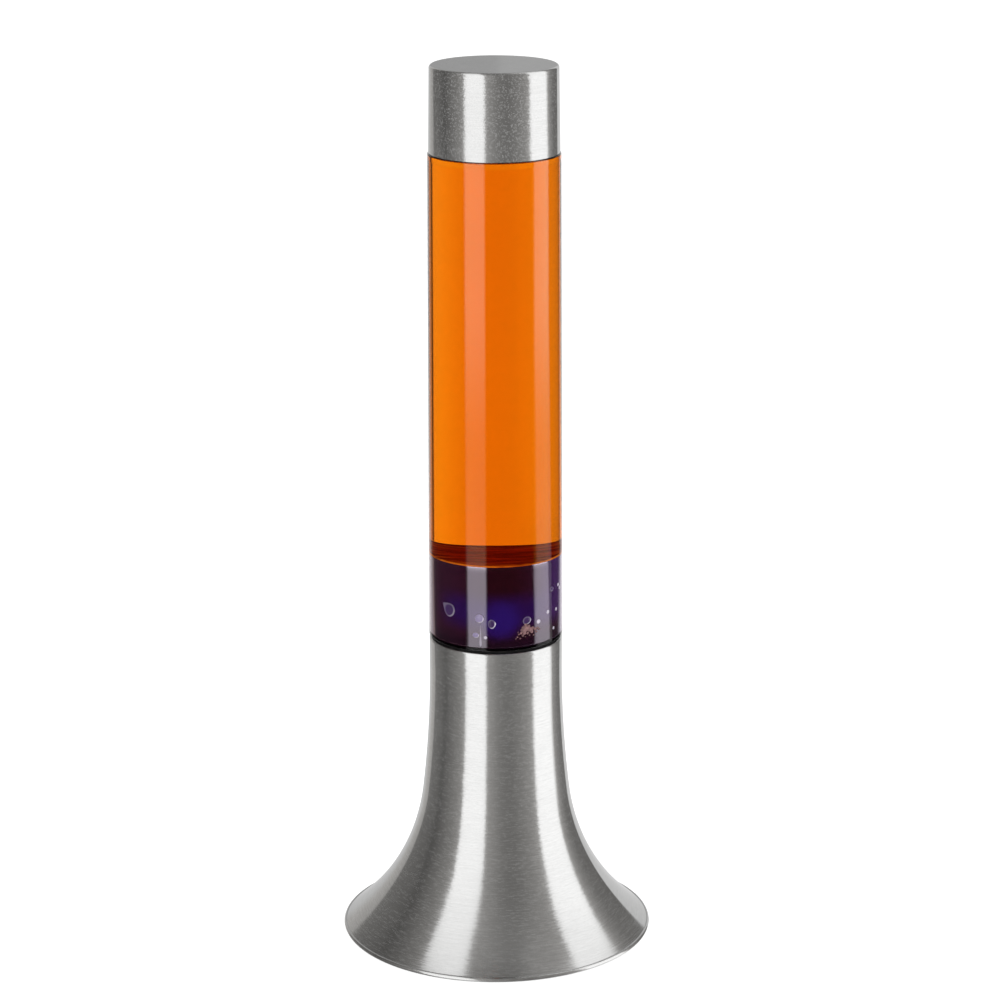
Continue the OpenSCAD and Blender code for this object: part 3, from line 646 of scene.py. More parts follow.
def settled_wax(name):
    """Cold wax against the glass: maroon with violet drifts and a blue heart towards the front."""
    look, colours = Finish(name), bpy.context.scene.lamp_colours
    spot = look.place()
    cloud = look.mottle(60.0)["Patches"]
    x, _, z = look.split(spot)

    def rise(low, high):
        """From 0 to 1 between two heights over the seat in millimetres."""
        return look.ramp(z, SEAT + low * MM, SEAT + high * MM)

    def across(low, high):
        """From 0 to 1 between two places from left to right in millimetres."""
        return look.ramp(x, low * MM, high * MM)

    beside = look.ramp(look.unsigned(look.minus(x, 2 * MM)), 4 * MM, 19 * MM)
    body = look.blend(beside, colours.wax_dark, colours.wax_side)
    body = look.blend(rise(9, 2), body, colours.wax_low)
    over = rise(6, 15)
    layer = look.times(look.times(rise(27, 18), over), across(-25, -16))
    drift = look.times(look.ramp(cloud, 0.3, 0.55, 0.5, 1.0), layer)
    body = look.blend(drift, body, colours.wax_violet)
    body = look.blend(look.times(across(15, 25), over), body, colours.wax_plum)
    from_heart = look.vector("SUBTRACT", spot, (2.5 * MM, -25 * MM, SEAT + 13 * MM))
    far = look.vector("LENGTH", look.vector("MULTIPLY", from_heart, (1.15, 0.5, 1.05)))
    ragged = look.plus(far, look.times(cloud, 8 * MM))
    heart = look.times(look.ramp(ragged, 16 * MM, 7 * MM), rise(1.5, 7))
    body = look.blend(heart, body, colours.wax_blue)
    # Painted reflection: where the glass is looked into at a slant, the gap between it and the wax is given
    # pale colours that stand in for the room it mirrors
    to_right = across(-1, 1)
    slant = look.minus(look.facing(), look.ramp(to_right, 0.0, 1.0, 0.256, 0.281))
    normal = look.split(look.add("ShaderNodeNewGeometry").outputs["Normal"])
    upright = look.ramp(look.unsigned(normal["Z"]), 0.1, 0.25, 1.0, 0.0)
    at_gap_reflection = look.times(look.ramp(slant, -0.007, 0.007), upright)
    gap = look.blend(to_right, colours.wax_gap_reflection, colours.wax_gap_reflection_right)
    return look.set(
        Base_Color=look.blend(at_gap_reflection, body, gap),
        Roughness=0.0,
        IOR=2.4,
        Specular_IOR_Level=1.0,
        Specular_Tint=(0.95, 0.86, 1.0),
        Normal=look.bump(cloud, 0.05, 0.5 * MM),
    )


def wax_surface(name):
    """The upper face of the wax: dark and streaky, with a broken line of painted light, which also glows,
    where it meets the glass.
    """
    look, colours, glass = Finish(name), bpy.context.scene.lamp_colours, bpy.context.scene.lamp_glass
    torn = look.noise(look.stretched((0.45, 1.5, 1.0)), 130.0, 4.0, distortion=0.6)
    streak = look.ramp(torn, 0.4, 0.65)
    upper = look.blend(streak, shade(colours.wax_top, 0.5), colours.wax_top)
    spot = look.place()
    x, y, _ = look.split(spot)
    radius = look.reach(x, y)
    wall = (GLASS_HIGH.x - glass.wall) * glass.foot_spread
    near = look.times(look.ramp(radius, wall - 12 * MM, wall - 2 * MM), streak)
    upper = look.blend(near, upper, colours.wax_front)
    # A broken line of painted light where the wax meets the glass
    broken = look.ramp(look.noise(spot, 110.0, 3.0), 0.35, 0.6, 0.3, 1.0)
    line = look.times(look.ramp(radius, wall - 1.6 * MM, wall - 0.8 * MM), broken)
    return look.set(
        Base_Color=look.blend(line, upper, colours.wax_rim_painted_light),
        # Painted light: the edge glows, standing in for the light that comes down through the glass
        Emission_Color=look.blend(line, BLACK, colours.wax_rim_painted_light),
        Emission_Strength=0.35,
        Roughness=0.7,
        Specular_IOR_Level=0.0,
    )


def bubble_skin(name, middle):
    """A bubble against the glass: a painted highlight along its edge, brightest at its lower right, round its
    middle.
    """
    look, colours = Finish(name), bpy.context.scene.lamp_colours
    edge, lit = (look.add("ShaderNodeAttribute", attribute_name=kind).outputs["Fac"] for kind in BUBBLE_MARKS)
    cloud = look.noise(look.place(), 900.0)
    # The painted highlight: strongest at the edge and on the lit lower right
    rim = look.times(look.ramp(edge, 0.7, 0.9), look.ramp(lit, 0.0, 0.7, 0.15, 1.0))
    share = look.plus(rim, look.times(cloud, 0.05), clamp=True)
    return look.set(
        Base_Color=look.blend(share, getattr(colours, middle), colours.bubble),
        # Painted light: the skin glows at its edge, standing in for the light that it gathers
        Emission_Color=look.blend(rim, BLACK, colours.bubble),
        Emission_Strength=0.2,
        Roughness=look.ramp(cloud, 0.3, 0.7, 0.05, 0.2),
    )


def mottled(name, low, high, rough, density=250.0, height=0.04, plain=None):
    """A moulded, cast or painted finish: two tones in patches, and a fine grain in its gloss and surface."""
    look = Finish(name)
    cloud = look.mottle(density)
    return look.set(
        Base_Color=look.blend(look.ramp(cloud["Patches"], 0.35, 0.65), low, high),
        Roughness=look.ramp(cloud["Grain"], 0.25, 0.75, *rough),
        Normal=look.bump(cloud["Grain"], 0.5, height * MM),
        **(plain or {}),
    )


def wax_crumb(name):
    """Pinkish crumbs of wax."""
    crumb = bpy.context.scene.lamp_colours.crumb
    return mottled(name, shade(crumb, 0.5), crumb, (0.3, 0.6), 600.0, 0.06)


def turned_metal(name, low, high, rough):
    """A machined or rolled metal with fine lines round its axis."""
    look = Finish(name)
    grain = look.grain()
    return look.set(
        Base_Color=look.blend(look.ramp(grain["Drift"], 0.3, 0.7), low, high),
        Roughness=look.ramp(grain["Lines"], 0.25, 0.75, *rough),
        Normal=look.bump(grain["Lines"], 0.5, 0.02 * MM),
        Metallic=1.0,
    )


def reflector_glass(name):
    """A reflector bulb's envelope: silvered inside below its widest line, frosted white above."""
    look = Finish(name)
    silver_depth, soft = 20 * MM, 0.4 * MM
    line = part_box("bulb_glass")[1].z - silver_depth
    front = look.ramp(look.split(look.place())["Z"], line - soft, line + soft)
    cloud = look.mottle(400.0)
    silver = look.blend(cloud["Patches"], (0.80, 0.80, 0.80), (0.88, 0.88, 0.88))
    frost = look.blend(cloud["Patches"], (0.82, 0.82, 0.80), (0.92, 0.92, 0.90))
    return look.set(
        Base_Color=look.blend(front, silver, frost),
        Metallic=look.minus(1.0, front),
        Roughness=look.ramp(front, 0.0, 1.0, 0.08, 0.5),
        Normal=look.bump(cloud["Grain"], 0.2, 0.02 * MM),
        Coat_Weight=0.6,
    )


CLEAR = (0.985, 0.985, 0.98)
AS_GLASS = {"Roughness": 0.0, "IOR": 1.5, "Transmission_Weight": 1.0}
AS_METAL = {"Metallic": 1.0}
# How each finish is made. Brushed metal: grains to a metre, their length, two tones, how metallic dull grains
# are and how far grains turn, in degrees. Mottled and turned metal: two tones, least and most roughness, and
# for the mottled ones patches to a metre, height of the grain in millimetres and plain values of the shader.
FINISHES = {
    "brushed_aluminium": (brushed_aluminium, 3000.0, 3.5, (0.86, 1.025), 0.945, 0.6),
    "drawn_aluminium": (brushed_aluminium, 2400.0, 1.0, (0.825, 1.0), 0.845, 1.0),
    "clear_glass": (clear_glass,),
    "wetted_glass": (toned_glass, CLEAR, WHITE, WHITE, {"Specular_IOR_Level": 0.0}),
    # Painted shade: the ledge under the cap's foot is tinted dark brown, standing in for the shade that the
    # cap throws on it
    "shaded_glass": (toned_glass, (0.06, 0.035, 0.02), (0.09, 0.05, 0.03), (0.5, 0.5, 0.5), {}),
    "orange_liquid": (orange_liquid,),
    "settled_wax": (settled_wax,),
    "wax_surface": (wax_surface,),
    "clear_bubble": (bubble_skin, "bubble_heart"),
    "milky_bubble": (bubble_skin, "bubble_pale"),
    "wax_crumb": (wax_crumb,),
    "reflector_glass": (reflector_glass,),
    "black_rubber": (
        mottled, (0.005, 0.005, 0.005), (0.010, 0.010, 0.010), (0.6, 0.85), 250.0, 0.04,
        {"Specular_IOR_Level": 0.15},
    ),
    "black_enamel": (mottled, (0.018, 0.018, 0.018), (0.035, 0.035, 0.035), (0.3, 0.5), 120.0),
    "moulded_black": (mottled, (0.016, 0.015, 0.014), (0.03, 0.028, 0.026), (0.4, 0.6)),
    "white_ceramic": (mottled, (0.70, 0.68, 0.62), (0.82, 0.80, 0.75), (0.5, 0.75), 180.0),
    "pale_seal": (mottled, (0.76, 0.76, 0.72), (0.86, 0.86, 0.82), (0.45, 0.65)),
    "black_vitrite": (
        mottled, (0.010, 0.010, 0.014), (0.022, 0.022, 0.028), (0.08, 0.2), 250.0, 0.04, {"Coat_Weight": 0.5}
    ),
    "stem_glass": (
        mottled, (0.80, 0.84, 0.84), (0.92, 0.94, 0.94), (0.05, 0.15), 300.0, 0.01, {"Coat_Weight": 0.4}
    ),
    "solder": (mottled, (0.42, 0.42, 0.42), (0.56, 0.56, 0.55), (0.3, 0.5), 700.0, 0.04, AS_METAL),
    "tungsten": (mottled, (0.26, 0.26, 0.27), (0.36, 0.36, 0.37), (0.35, 0.55), 900.0, 0.04, AS_METAL),
    "drawn_wire": (mottled, (0.40, 0.40, 0.40), (0.52, 0.52, 0.51), (0.25, 0.4), 500.0, 0.04, AS_METAL),
    "tinplate": (mottled, (0.52, 0.52, 0.52), (0.66, 0.66, 0.65), (0.2, 0.38), 260.0, 0.04, AS_METAL),
    "zinc_plate": (turned_metal, (0.46, 0.46, 0.45), (0.60, 0.60, 0.58), (0.28, 0.45)),
    "worn_brass": (turned_metal, (0.58, 0.42, 0.17), (0.74, 0.56, 0.26), (0.22, 0.42)),
}


def kept(name):
    """A finish by name, made the first time that it is asked for."""
    make, *values = FINISHES[name]
    return bpy.data.materials.get(name) or make(name, *values)


# Pieces


def flare_outline(sizes):
    """Half section of the spun base: lip, neck, two tangent curves and the rolled rim."""
    half = sizes.shell_wall / 2
    bead = (sizes.rim_radius - sizes.bead_radius, sizes.rim_gap + sizes.bead_radius)
    gentle = (sizes.neck_radius - half + sizes.gentle_radius, sizes.base_height - sizes.neck_straight)
    lean = sizes.flare_turn
    level_with, down = math.cos(lean), math.sin(lean)
    turn = (gentle[0] - sizes.gentle_radius * level_with, gentle[1] - sizes.gentle_radius * down)
    run = (bead[0] - turn[0], bead[1] - turn[1])
    tight_radius = (run[0] ** 2 + run[1] ** 2) / (2 * (run[0] * level_with + run[1] * down))
    tight = (turn[0] + tight_radius * level_with, turn[1] + tight_radius * down)
    end = 180 + math.degrees(math.asin((tight[1] - bead[1]) / tight_radius))
    start = 180 + math.degrees(lean)
    grip = math.degrees(math.asin(half / sizes.bead_radius))
    wall_end = end - math.degrees(sizes.bead_radius * math.cos(math.radians(grip)) / tight_radius)
    roll = end + 90
    lip = (sizes.neck_radius - sizes.lip_bend, sizes.base_height - sizes.lip_bend)
    lip_in = sizes.neck_radius - sizes.lip_width
    inner = sizes.shell_wall + sizes.lip_inside
    inside = (sizes.neck_radius - inner, sizes.base_height - inner)
    return outline(
        [(lip_in, sizes.base_height)],
        arc(lip, sizes.lip_bend, 90, 0, 10),
        arc(gentle, sizes.gentle_radius - half, 180, start, 36),
        arc(tight, tight_radius - half, start, wall_end, 56),
        arc(bead, sizes.bead_radius, roll + 180 - grip, roll - 180 + grip, 24),
        arc(tight, tight_radius + half, wall_end, start, 40),
        arc(gentle, sizes.gentle_radius + half, start, 180, 20),
        arc(inside, sizes.lip_inside, 0, 90, 6),
        [(lip_in, sizes.base_height - sizes.shell_wall), (lip_in, sizes.base_height)],
    )


class LAMP_OT_spun_base(bpy.types.Operator):
    """Spin the trumpet base from one sheet and cut the hole for the cord bush"""

    bl_idname = "lamp.spun_base"
    bl_label = "Spun base"

    def execute(self, context):
        sizes = context.scene.lamp_metal
        piece = turned("spun_base", flare_outline(sizes))
        deselect()
        depth = BUSH_HIGH.y - BUSH_LOW.y + sizes.bush_reach
        bpy.ops.mesh.primitive_cylinder_add(
            vertices=64,
            radius=sizes.bush_hole,
            depth=depth,
            location=(0, BUSH_LOW.y + depth / 2, (BUSH_LOW.z + BUSH_HIGH.z) / 2),
            rotation=(math.pi / 2, 0, 0),
        )
        cutter = context.object
        context.view_layer.objects.active = piece
        cut = piece.modifiers.new("Bush hole", "BOOLEAN")
        cut.operation = "DIFFERENCE"
        cut.solver = "EXACT"
        cut.object = cutter
        bpy.ops.object.modifier_apply(modifier=cut.name)
        bpy.data.objects.remove(cutter)
        return hand_over(finished(piece, "brushed_aluminium"), "base", "spun_aluminium", "base_shell")


class LAMP_OT_drawn_cap(bpy.types.Operator):
    """Draw the cup-shaped cap with its flat turned top"""

    bl_idname = "lamp.drawn_cap"
    bl_label = "Drawn cap"

    def execute(self, context):
        sizes = context.scene.lamp_metal
        out_r, in_r = CAP_HIGH.x, CAP_HIGH.x - sizes.cap_wall
        top, foot = CAP_HIGH.z, LEDGE + sizes.cap_clear
        edge, inner_edge, round_foot = sizes.cap_edge, sizes.cap_inside, sizes.cap_foot
        rings = 14
        points = outline(
            [((out_r - edge) * i / rings, top) for i in range(rings)],
            arc((out_r - edge, top - edge), edge, 90, 0, 10),
            arc((out_r - round_foot, foot + round_foot), round_foot, 0, -90, 5),
            [(in_r, foot)],
            arc((in_r - inner_edge, top - sizes.cap_wall - inner_edge), inner_edge, 0, 90, 4),
            [(0, top - sizes.cap_wall)],
        )
        piece = turned("drawn_cap", drawn(points, (foot, 1.0), (top, 1.0 - sizes.cap_draft / out_r)))
        return hand_over(finished(piece, "drawn_aluminium"), "cap", "spun_aluminium", "cap_shell")


def dome_centre(glass):
    """Centre of the dome over the ledge, in the half section."""
    return (glass.bore_radius, LEDGE)


def drawn_tube(name, glass, points):
    """The glass or its fill, turned, spread at its foot and drawn in towards its top as the tube is."""
    return turned(name, drawn(points, (SEAT, glass.foot_spread), (LEDGE, glass.top_draw)))


def inner_wall(glass, grow):
    """Half section of the space inside the glass from under the ledge up to the bore, grown outwards."""
    body = GLASS_HIGH.x - glass.wall
    taper = glass.shoulder_radius - glass.wall
    taper_z = LEDGE - glass.taper_drop
    return outline(
        [(body + grow, taper_z), (taper + grow, taper_z + body - taper)],
        arc(dome_centre(glass), taper - glass.bore_radius + grow, 0, 90, 24),
    )


def inner_floor(glass, grow):
    """Half section of the space inside the heel and the step over it, grown outwards."""
    body = GLASS_HIGH.x - glass.wall
    heel = glass.heel_radius - glass.wall
    floor = GLASS_LOW.z + glass.floor
    step = SEAT + glass.step
    return outline(
        [(0, floor - grow)],
        arc((heel - glass.floor_round, floor + glass.floor_round), glass.floor_round + grow, -90, 0, 6),
        [(heel + grow, step - grow)],
        arc((body - glass.step_round, step + glass.step_round), glass.step_round + grow, -90, 0, 8),
    )


class LAMP_OT_glass_tube(bpy.types.Operator):
    """Turn the clear glass vessel; its wetted inner face and its ledge, dark with painted shade under the
    cap, have finishes of their own
    """

    bl_idname = "lamp.glass_tube"
    bl_label = "Glass tube"

    def execute(self, context):
        glass = context.scene.lamp_glass
        out_r, heel, lip = GLASS_HIGH.x, glass.heel_radius, GLASS_HIGH.z
        dome_r = glass.shoulder_radius - glass.bore_radius
        neck_turn = math.degrees(math.acos((glass.throat_radius - glass.bore_radius) / dome_r))
        bead_r = glass.mouth_radius - glass.mouth_round
        mouth = lip - glass.mouth_height
        points = outline(
            [(0, GLASS_LOW.z)],
            arc((heel - glass.heel_round, GLASS_LOW.z + glass.heel_round), glass.heel_round, -90, 0, 8),
            [(heel, SEAT)],
            arc((out_r - glass.seat_round, SEAT + glass.seat_round), glass.seat_round, -90, 0, 10),
            arc((out_r - glass.ledge_round, LEDGE - glass.ledge_round), glass.ledge_round, 0, 90, 8),
            arc(dome_centre(glass), dome_r, 0, neck_turn, 24),
            [(glass.throat_radius, mouth)],
            arc((bead_r, mouth + glass.mouth_round), glass.mouth_round, -90, 0, 6),
            arc((bead_r, lip - glass.mouth_round), glass.mouth_round, 0, 90, 6),
            [(glass.bore_radius, lip)],
            inner_wall(glass, 0.0)[::-1],
            inner_floor(glass, 0.0)[::-1],
        )
        piece = drawn_tube("glass_tube", glass, points)
        finished(piece, "clear_glass", "wetted_glass", "shaded_glass")
        clear, wetted, shaded = range(3)
        inward_slope, ground_slope, ledge_slope = -0.05, 0.5, 0.25
        middle = (SEAT + LEDGE) / 2
        for face in piece.data.polygons:
            radius = math.hypot(face.center.x, face.center.y)
            inward = face.normal.x * face.center.x + face.normal.y * face.center.y < inward_slope * radius
            inner_ground = face.normal.z > ground_slope and face.center.z < middle
            # Faces of the ledge under the cap's foot take the painted shade
            on_ledge = face.normal.z > ledge_slope and abs(face.center.z - LEDGE) < glass.ledge_round
            face.material_index = wetted if inward or inner_ground else shaded if on_ledge else clear
        return hand_over(piece, "globe", "vessel_glass", "glass_vessel")


class LAMP_OT_liquid(bpy.types.Operator):
    """Fill the glass with liquid from the wax up into the vessel's neck"""

    bl_idname = "lamp.liquid"
    bl_label = "Carrier liquid"

    def execute(self, context):
        glass = context.scene.lamp_glass
        grow = glass.wetting
        body, bore = GLASS_HIGH.x - glass.wall + grow, glass.bore_radius + grow
        under = LIQUID_LOW.z - glass.wax_drop - 2 * glass.meniscus - 1 * MM
        points = outline(
            [(0, under), (body, under)],
            inner_wall(glass, grow),
            [(bore, LEDGE + glass.throat_height), (bore, LIQUID_HIGH.z), (0, LIQUID_HIGH.z)],
        )
        piece = finished(drawn_tube("orange_liquid", glass, points), "orange_liquid")
        return hand_over(piece, "globe", "carrier_liquid", "carrier_liquid")


class LAMP_OT_wax(bpy.types.Operator):
    """Settle the wax in the foot of the glass, with bubbles and crumbs caught against the glass"""

    bl_idname = "lamp.wax"
    bl_label = "Settled wax"

    def execute(self, context):
        glass = context.scene.lamp_glass
        grow = 1.2 * glass.wetting
        body = GLASS_HIGH.x - glass.wall + grow
        top, shoulder = LIQUID_LOW.z - glass.wax_drop, glass.meniscus
        rings = 12
        points = outline(
            inner_floor(glass, grow),
            [(body, top - share * shoulder) for share in (6.0, 3.6, 1.3)],
            arc((body - shoulder, top - shoulder), shoulder, 0, 90, 10),
            [((body - shoulder) * (1 - i / rings), top) for i in range(1, rings + 1)],
        )
        piece = drawn_tube("settled_wax", glass, points)
        pick(piece, lambda corner: corner.co.z > top - 1.5 * shoulder)
        bpy.ops.transform.rotate(value=glass.wax_lean, orient_axis="X", center_override=(0, 0, top))
        bpy.ops.object.mode_set(mode="OBJECT")
        finished(piece, "settled_wax", "wax_surface")
        upper_slope, upper_from = 0.35, SEAT + 20 * MM
        for face in piece.data.polygons:
            face.material_index = int(face.normal.z > upper_slope and face.center.z > upper_from)
        wall = body * glass.foot_spread
        caught = [self.bubble(wall, *bubble) for bubble in BUBBLES]
        caught += [self.crumb(wall, seed, *crumb) for seed, crumb in enumerate(CRUMBS)]
        choose(piece)
        for extra in caught:
            extra.select_set(True)
        bpy.ops.object.join()
        return hand_over(piece, "globe", "wax", "wax")

    def bubble(self, radius, bearing, height, width, tall, lean, tip, milky, shine):
        """One bubble: a ball flattened against the glass, its upper pole drawn out where it has a tip."""
        deselect()
        bpy.ops.mesh.primitive_uv_sphere_add(segments=32, ring_count=20, radius=1.0)
        piece = named(bpy.context.object, "bubble")
        if tip:
            pole = max(piece.data.vertices, key=lambda corner: corner.co.z).index
            pick(piece, lambda corner: corner.index == pole)
            bpy.ops.transform.translate(
                value=(0, 0, tip),
                use_proportional_edit=True,
                proportional_edit_falloff="SHARP",
                proportional_size=1.3,
            )
            bpy.ops.object.mode_set(mode="OBJECT")
        bpy.ops.object.shade_smooth()
        # Each corner carries where the painted highlight falls: near the edge, and on the lower right
        edge, lit = (piece.data.attributes.new(kind, "FLOAT", "POINT") for kind in BUBBLE_MARKS)
        small = width < SMALL_BUBBLE
        turn = math.radians(lean)
        for spot, corner in enumerate(piece.data.vertices):
            x, y, z = corner.co
            edge.data[spot].value = 1.0 if small else math.sqrt(max(1.0 - y ** 2, 0.0))
            right = x * math.cos(turn) + z * math.sin(turn)
            up = z * math.cos(turn) - x * math.sin(turn)
            lit.data[spot].value = shine * (1.0 if small else 0.7 * (right - up))
        piece.scale = (width / 2 * MM, 0.22 * MM + 0.06 * width * MM, tall / 2 * MM)
        self.set_against_glass(piece, radius, bearing, height, lean)
        return finished(piece, "milky_bubble" if milky else "clear_bubble")

    def crumb(self, radius, seed, bearing, height, size):
        """One crumb: a ball knocked out of shape."""
        deselect()
        bpy.ops.mesh.primitive_ico_sphere_add(subdivisions=3, radius=1.0)
        piece = named(bpy.context.object, "crumb")
        choose(piece)
        bpy.ops.object.mode_set(mode="EDIT")
        bpy.ops.mesh.select_all(action="SELECT")
        bpy.ops.transform.vertex_random(offset=0.2, seed=seed)
        bpy.ops.mesh.vertices_smooth(factor=0.5, repeat=1)
        bpy.ops.object.mode_set(mode="OBJECT")
        bpy.ops.object.shade_smooth()
        piece.scale = (0.55 * size * MM, 0.3 * MM + 0.1 * size * MM, 0.45 * size * MM)
        self.set_against_glass(piece, radius, bearing, height, 50 * math.sin(7.0 * seed))
        return finished(piece, "wax_crumb")

    def set_against_glass(self, piece, radius, bearing, height, lean):
        """Puts a bubble or crumb in its place on the inner face of the glass."""
        turn = math.radians(bearing)
        piece.location = (radius * math.sin(turn), -radius * math.cos(turn), SEAT + height * MM)
        piece.rotation_euler = (0, math.radians(lean), turn)
        choose(piece)
        bpy.ops.object.transform_apply(location=True, rotation=True, scale=True)


class LAMP_OT_wire_coil(bpy.types.Operator):
    """Wind the wire coil that lies in the wax"""

    bl_idname = "lamp.wire_coil"
    bl_label = "Wire coil"

    def execute(self, context):
        glass = context.scene.lamp_glass
        middle = (COIL_LOW.z + COIL_HIGH.z) / 2
        steps = 20 * glass.coil_curls
        points = []
        for i in range(steps + 1):
            ring = glass.coil_start + glass.coil_span * i / steps
            curl = math.tau * glass.coil_curls * i / steps
            reach = glass.coil_ring + glass.coil_curl * math.cos(curl)
            rise = glass.coil_curl * math.sin(curl)
            points.append((reach * math.cos(ring), reach * math.sin(ring), middle + rise))
        drawn_out("wire_coil", points)
        bpy.ops.object.mode_set(mode="OBJECT")
        bpy.ops.object.convert(target="CURVE")
        curve = context.object.data
        curve.bevel_depth = glass.coil_wire
        curve.bevel_resolution = 2
        curve.use_fill_caps = True
        bpy.ops.object.convert(target="MESH")
        piece = named(context.object, "wire_coil")
        bpy.ops.object.shade_smooth_by_angle(angle=math.radians(50))
        return hand_over(finished(piece, "drawn_wire"), "globe", "coil_wire", "heat_coil")


class Dressing:
    """An operator that gives carried-over CAD nodes their finishes."""

    def execute(self, context):
        for finish, nodes in self.finishes.items():
            for node in nodes:
                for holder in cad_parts[node].material_slots:
                    holder.material = kept(finish)
        return {"FINISHED"}


class LAMP_OT_rubber(Dressing, bpy.types.Operator):
    """Finish the gasket under the glass and the feet"""

    bl_idname = "lamp.rubber"
    bl_label = "Rubber"
    finishes = {"black_rubber": ("seat_ring", "feet")}


class LAMP_OT_steel_frame(Dressing, bpy.types.Operator):
    """Finish the cradle and the base plate"""

    bl_idname = "lamp.steel_frame"
    bl_label = "Steel frame"
    finishes = {"black_enamel": ("cradle", "base_plate")}


class LAMP_OT_tube_hardware(Dressing, bpy.types.Operator):
    """Finish the threaded tube, its nuts and washers, and the lock screw"""

    bl_idname = "lamp.tube_hardware"
    bl_label = "Tube hardware"
    finishes = {"zinc_plate": ("threaded_tube", "tube_nuts", "lock_washers", "holder_lock_screw")}


class LAMP_OT_cord_bush(Dressing, bpy.types.Operator):
    """Finish the cord bush at the back"""

    bl_idname = "lamp.cord_bush"
    bl_label = "Cord bush"
    finishes = {"moulded_black": ("cord_bush",)}


class LAMP_OT_lamp_holder(Dressing, bpy.types.Operator):
    """Finish the lamp holder and its contacts"""

    bl_idname = "lamp.lamp_holder"
    bl_label = "Lamp holder"
    finishes = {
        "moulded_black": ("holder_cap", "holder_skirt"),
        "white_ceramic": ("holder_insert",),
        "worn_brass": ("holder_screw", "holder_contact", "terminal_screws"),
    }


class LAMP_OT_bulb(Dressing, bpy.types.Operator):
    """Finish the reflector bulb"""

    bl_idname = "lamp.bulb"
    bl_label = "Reflector bulb"
    finishes = {
        "solder": ("bulb_contact",),
        "black_vitrite": ("bulb_insulator",),
        "worn_brass": ("bulb_screw",),
        "reflector_glass": ("bulb_glass",),
        "stem_glass": ("bulb_stem",),
        "tungsten": ("bulb_filament",),
    }


class LAMP_OT_closure(Dressing, bpy.types.Operator):
    """Finish the fluted closure, its seal and the liner of the cap"""

    bl_idname = "lamp.closure"
    bl_label = "Closure"
    finishes = {"tinplate": ("crown_cap",), "pale_seal": ("crown_liner",), "moulded_black": ("cap_liner",)}


